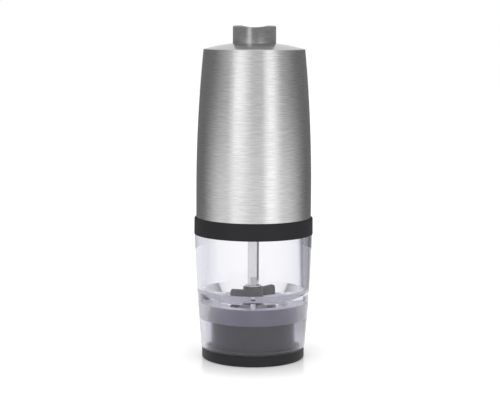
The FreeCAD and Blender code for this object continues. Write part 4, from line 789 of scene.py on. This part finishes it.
def cross_head_screw_tree():
    """Screws that point up, with a bevelled head and a cross recess in its face."""
    tree, given = new_tree("CrossHeadScrews", [
        "Face Radius", "Rim Radius", "Rim Height", "Seat Radius", "Head Height", "Shank Radius", "Length",
        "Recess Width"])
    seat = math_node(tree, "ADD", given["Head Height"], SEAT_STEP)
    taper = math_node(tree, "SUBTRACT", given["Length"], given["Shank Radius"])
    tip = math_node(tree, "MULTIPLY", given["Shank Radius"], TIP_SHARE)
    heights = [0.0, given["Rim Height"], given["Head Height"], seat, taper, given["Length"]]
    radii = [given["Face Radius"], given["Rim Radius"], given["Seat Radius"], given["Shank Radius"],
             given["Shank Radius"], tip]
    line = placed(tree, "GeometryNodeMeshLine", Count=len(heights))
    axis = placed(tree, "GeometryNodeMeshToCurve", Mesh=line.outputs[0])
    path = placed(tree, "GeometryNodeSetPosition", Geometry=axis.outputs[0],
                  Position=vector_of(tree, z=chosen(tree, heights)))
    section = placed(tree, "GeometryNodeCurvePrimitiveCircle", Resolution=SCREW_SIDES, Radius=1.0)
    body = placed(tree, "GeometryNodeCurveToMesh", Curve=path.outputs[0], Profile_Curve=section.outputs[0],
                  Scale=chosen(tree, radii), Fill_Caps=True)
    depth = math_node(tree, "MULTIPLY", given["Head Height"], RECESS_DEPTH_SHARE)
    reach = math_node(tree, "MULTIPLY", given["Face Radius"], RECESS_REACH_SHARE)
    bars = tree.nodes.new("GeometryNodeJoinGeometry")
    for size in ((given["Recess Width"], reach, depth), (reach, given["Recess Width"], depth)):
        bar = placed(tree, "GeometryNodeMeshCube", Size=vector_of(tree, *size))
        tree.links.new(bar.outputs[0], bars.inputs[0])
    recessed = tree.nodes.new("GeometryNodeMeshBoolean")
    recessed.operation = "DIFFERENCE"
    recessed.solver = "EXACT"
    recessed.inputs["Self Intersection"].default_value = True
    tree.links.new(body.outputs[0], recessed.inputs["Mesh 1"])
    tree.links.new(bars.outputs[0], recessed.inputs["Mesh 2"])
    spread_and_finish(tree, given, recessed.outputs[0])
    return tree


def plain_mesh(thing):
    """The mesh of an object with its modifiers worked in."""
    made = thing.evaluated_get(bpy.context.evaluated_depsgraph_get())
    return bpy.data.meshes.new_from_object(made)


def shape_from(tree, values):
    """The plain mesh that a tree makes from those values."""
    carrier = mesh_object(f"{tree.name}_carrier", [], [])
    modifier = carrier.modifiers.new(tree.name, "NODES")
    modifier.node_group = tree
    for item in tree.interface.items_tree:
        if item.in_out == "INPUT":
            modifier[item.identifier] = values[item.name]
    mesh = plain_mesh(carrier)
    carrier.modifiers.remove(modifier)
    bpy.data.objects.remove(carrier)
    return mesh


def ring(radius, height, count, first_degrees, upside_down=False):
    return {"Ring Radius": radius, "Height": height, "Count": count,
            "First Angle": math.radians(first_degrees), "Upside Down": 1.0 if upside_down else 0.0}


def on_axis(height):
    return ring(0.0, height, count=1, first_degrees=0)


# Pieces


def add_piece(name, meshes, finish, crease=CREASE):
    """One piece from one or more plain meshes, with faces outwards and smooth up to a crease angle."""
    joined = bmesh.new()
    for mesh in meshes:
        joined.from_mesh(mesh)
    bmesh.ops.remove_doubles(joined, verts=joined.verts, dist=WELD_DISTANCE)
    bmesh.ops.recalc_face_normals(joined, faces=joined.faces)
    for face in joined.faces:
        face.smooth = True
        face.material_index = 0
    mesh = bpy.data.meshes.new(name)
    joined.to_mesh(mesh)
    joined.free()
    mesh.set_sharp_from_angle(angle=math.radians(crease))
    mesh.materials.append(finish)
    piece = bpy.data.objects.new(name, mesh)
    bpy.context.scene.collection.objects.link(piece)
    return piece


def merged_copy(name, node, own_normals=True):
    """A copy of a node's mesh with its loose triangles joined, and the solid's own normals where asked."""
    source = nodes_of_mill[node].data
    numbers = {}
    points = []
    faces = []
    for polygon in source.polygons:
        corners = []
        for index in polygon.vertices:
            place = tuple(source.vertices[index].co)
            key = tuple(round(value, WELD_DIGITS) for value in place)
            if key not in numbers:
                numbers[key] = len(points)
                points.append(place)
            corners.append(numbers[key])
        faces.append(corners)
    copy = mesh_object(name, points, faces, True)
    if own_normals:
        copy.data.normals_split_custom_set([tuple(normal.vector) for normal in source.corner_normals])
    return copy


def add_jar(finishes):
    """The jar from its solid, clear outside and frosted inside round the grinder."""
    floor_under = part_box("grinder_housing")[1].z
    jar = merged_copy("jar", "clear_jar")
    for name in JAR_FINISHES:
        jar.data.materials.append(finishes[name])
    for vertex in jar.data.vertices:
        if abs(vertex.co.z - floor_under) < SAME_HEIGHT and vertex.co.xy.length < SKIRT_BORE:
            vertex.co.z += FLOOR_LIFT
    for polygon in jar.data.polygons:
        x, y, z = polygon.center
        if math.hypot(x, y) > SKIRT_BORE or z > floor_under + HAIR:
            continue
        if z > floor_under - HAIR:
            finish = "milky_floor"
        elif z > floor_under - SKIRT_SHOULDER:
            finish = "frosted_cone"
        else:
            finish = "frosted_skirt"
        polygon.material_index = JAR_FINISHES.index(finish)
    jar.visible_shadow = False
    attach(jar, "base")
    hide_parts("clear_jar")


def add_button(finish):
    """The button's cap with a shallow finger hollow that runs over its top from front to back."""
    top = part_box("button_cap")[1].z
    cap = merged_copy("plain_button", "button_cap", own_normals=False)
    roller = bmesh.new()
    middle = Vector((0, 0, top - HOLLOW_DEPTH + HOLLOW_RADIUS))
    lying = Matrix.Translation(middle) @ Matrix.Rotation(math.pi / 2, 4, "X")
    bmesh.ops.create_cone(roller, cap_ends=True, segments=HOLLOW_SIDES, radius1=HOLLOW_RADIUS,
                          radius2=HOLLOW_RADIUS, depth=HOLLOW_LENGTH, matrix=lying)
    cutter = mesh_object("hollow_cutter", [], [])
    roller.to_mesh(cutter.data)
    roller.free()
    hollow = cap.modifiers.new("hollow", "BOOLEAN")
    hollow.operation = "DIFFERENCE"
    hollow.solver = "EXACT"
    hollow.object = cutter
    mesh = plain_mesh(cap)
    cap.modifiers.remove(hollow)
    for spare in (cap, cutter):
        bpy.data.objects.remove(spare)
    button = add_piece("hollowed_button", [mesh], finish, BUTTON_CREASE)
    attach(button, "button")
    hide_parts("button_cap")


def add_springs(finish):
    tree = wound_spring_tree()

    def coil(place, wire, first, last, turns, length, closing=0.75):
        return shape_from(tree, {
            "Wire Radius": wire / 2, "First Radius": first, "Last Radius": last, "Length": length,
            "Turns": turns, "Closing": closing, "Finish": finish, **place})

    low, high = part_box("burr_spring")
    length = high.z - low.z
    mesh = coil(on_axis(low.z), length=length, **BURR_COIL)
    burr_coil = add_piece("burr_coil", [mesh], finish)
    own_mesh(burr_coil)
    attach(burr_coil, "rotor")
    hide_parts("burr_spring")

    low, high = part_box("button_spring")
    length = high.z - low.z
    mesh = coil(on_axis(low.z), length=length, **BUTTON_COIL)
    button_coil = add_piece("button_coil", [mesh], finish)
    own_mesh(button_coil)
    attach(button_coil, "motor_unit")
    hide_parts("button_spring")

    low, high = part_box("cell_springs")
    lower = ring(CELL_RING, low.z, count=3, first_degrees=30)
    upper = ring(CELL_RING, high.z, count=3, first_degrees=90, upside_down=True)
    meshes = [coil(place, **CELL_COIL) for place in (lower, upper)]
    cell_coils = add_piece("cell_coils", meshes, finish)
    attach(cell_coils, "motor_unit")
    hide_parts("cell_springs")


def add_screws(finish):
    tree = cross_head_screw_tree()

    def screws(head, length, place, head_height=HEAD_HEIGHT):
        return shape_from(tree, {
            **head, "Head Height": head_height, "Shank Radius": SHANK_RADIUS, "Length": length,
            "Recess Width": RECESS_WIDTH, "Finish": finish, **place})

    low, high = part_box("housing_screws")
    mesh = screws(PAN_HEAD, high.z - low.z, ring(GRINDER_SCREW_RING, low.z, count=3, first_degrees=30))
    grinder_screws = add_piece("grinder_screws", [mesh], finish)
    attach(grinder_screws, "base")
    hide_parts("housing_screws")

    low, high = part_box("knob_screw")
    mesh = screws(PAN_HEAD, high.z - low.z, on_axis(low.z), KNOB_HEAD_HEIGHT)
    knob_fixing = add_piece("knob_fixing", [mesh], finish)
    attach(knob_fixing, "adjuster")
    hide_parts("knob_screw")

    low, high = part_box("gearbox_screws")
    place = ring(GEARBOX_SCREW_RING, high.z, count=3, first_degrees=0, upside_down=True)
    meshes = [screws(PAN_HEAD, high.z - low.z, place)]
    low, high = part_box("motor_screws")
    place = ring(MOTOR_SCREW_RING, low.z, count=2, first_degrees=0)
    meshes.append(screws(SUNK_HEAD, high.z - low.z, place))
    low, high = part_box("chassis_screws")
    place = ring(CHASSIS_SCREW_RING, low.z, count=3, first_degrees=60)
    meshes.append(screws(SUNK_HEAD, high.z - low.z, place))
    unit_screws = add_piece("unit_screws", meshes, finish)
    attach(unit_screws, "motor_unit")
    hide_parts("gearbox_screws", "motor_screws", "chassis_screws")


bpy.context.scene.view_settings.view_transform = "Standard"
add_camera()
add_studio()
finishes = make_finishes()
dress_nodes(finishes)
add_jar(finishes)
add_button(finishes["shaded_button_steel"])
add_springs(finishes["spring_steel"])
add_screws(finishes["plated_steel"])
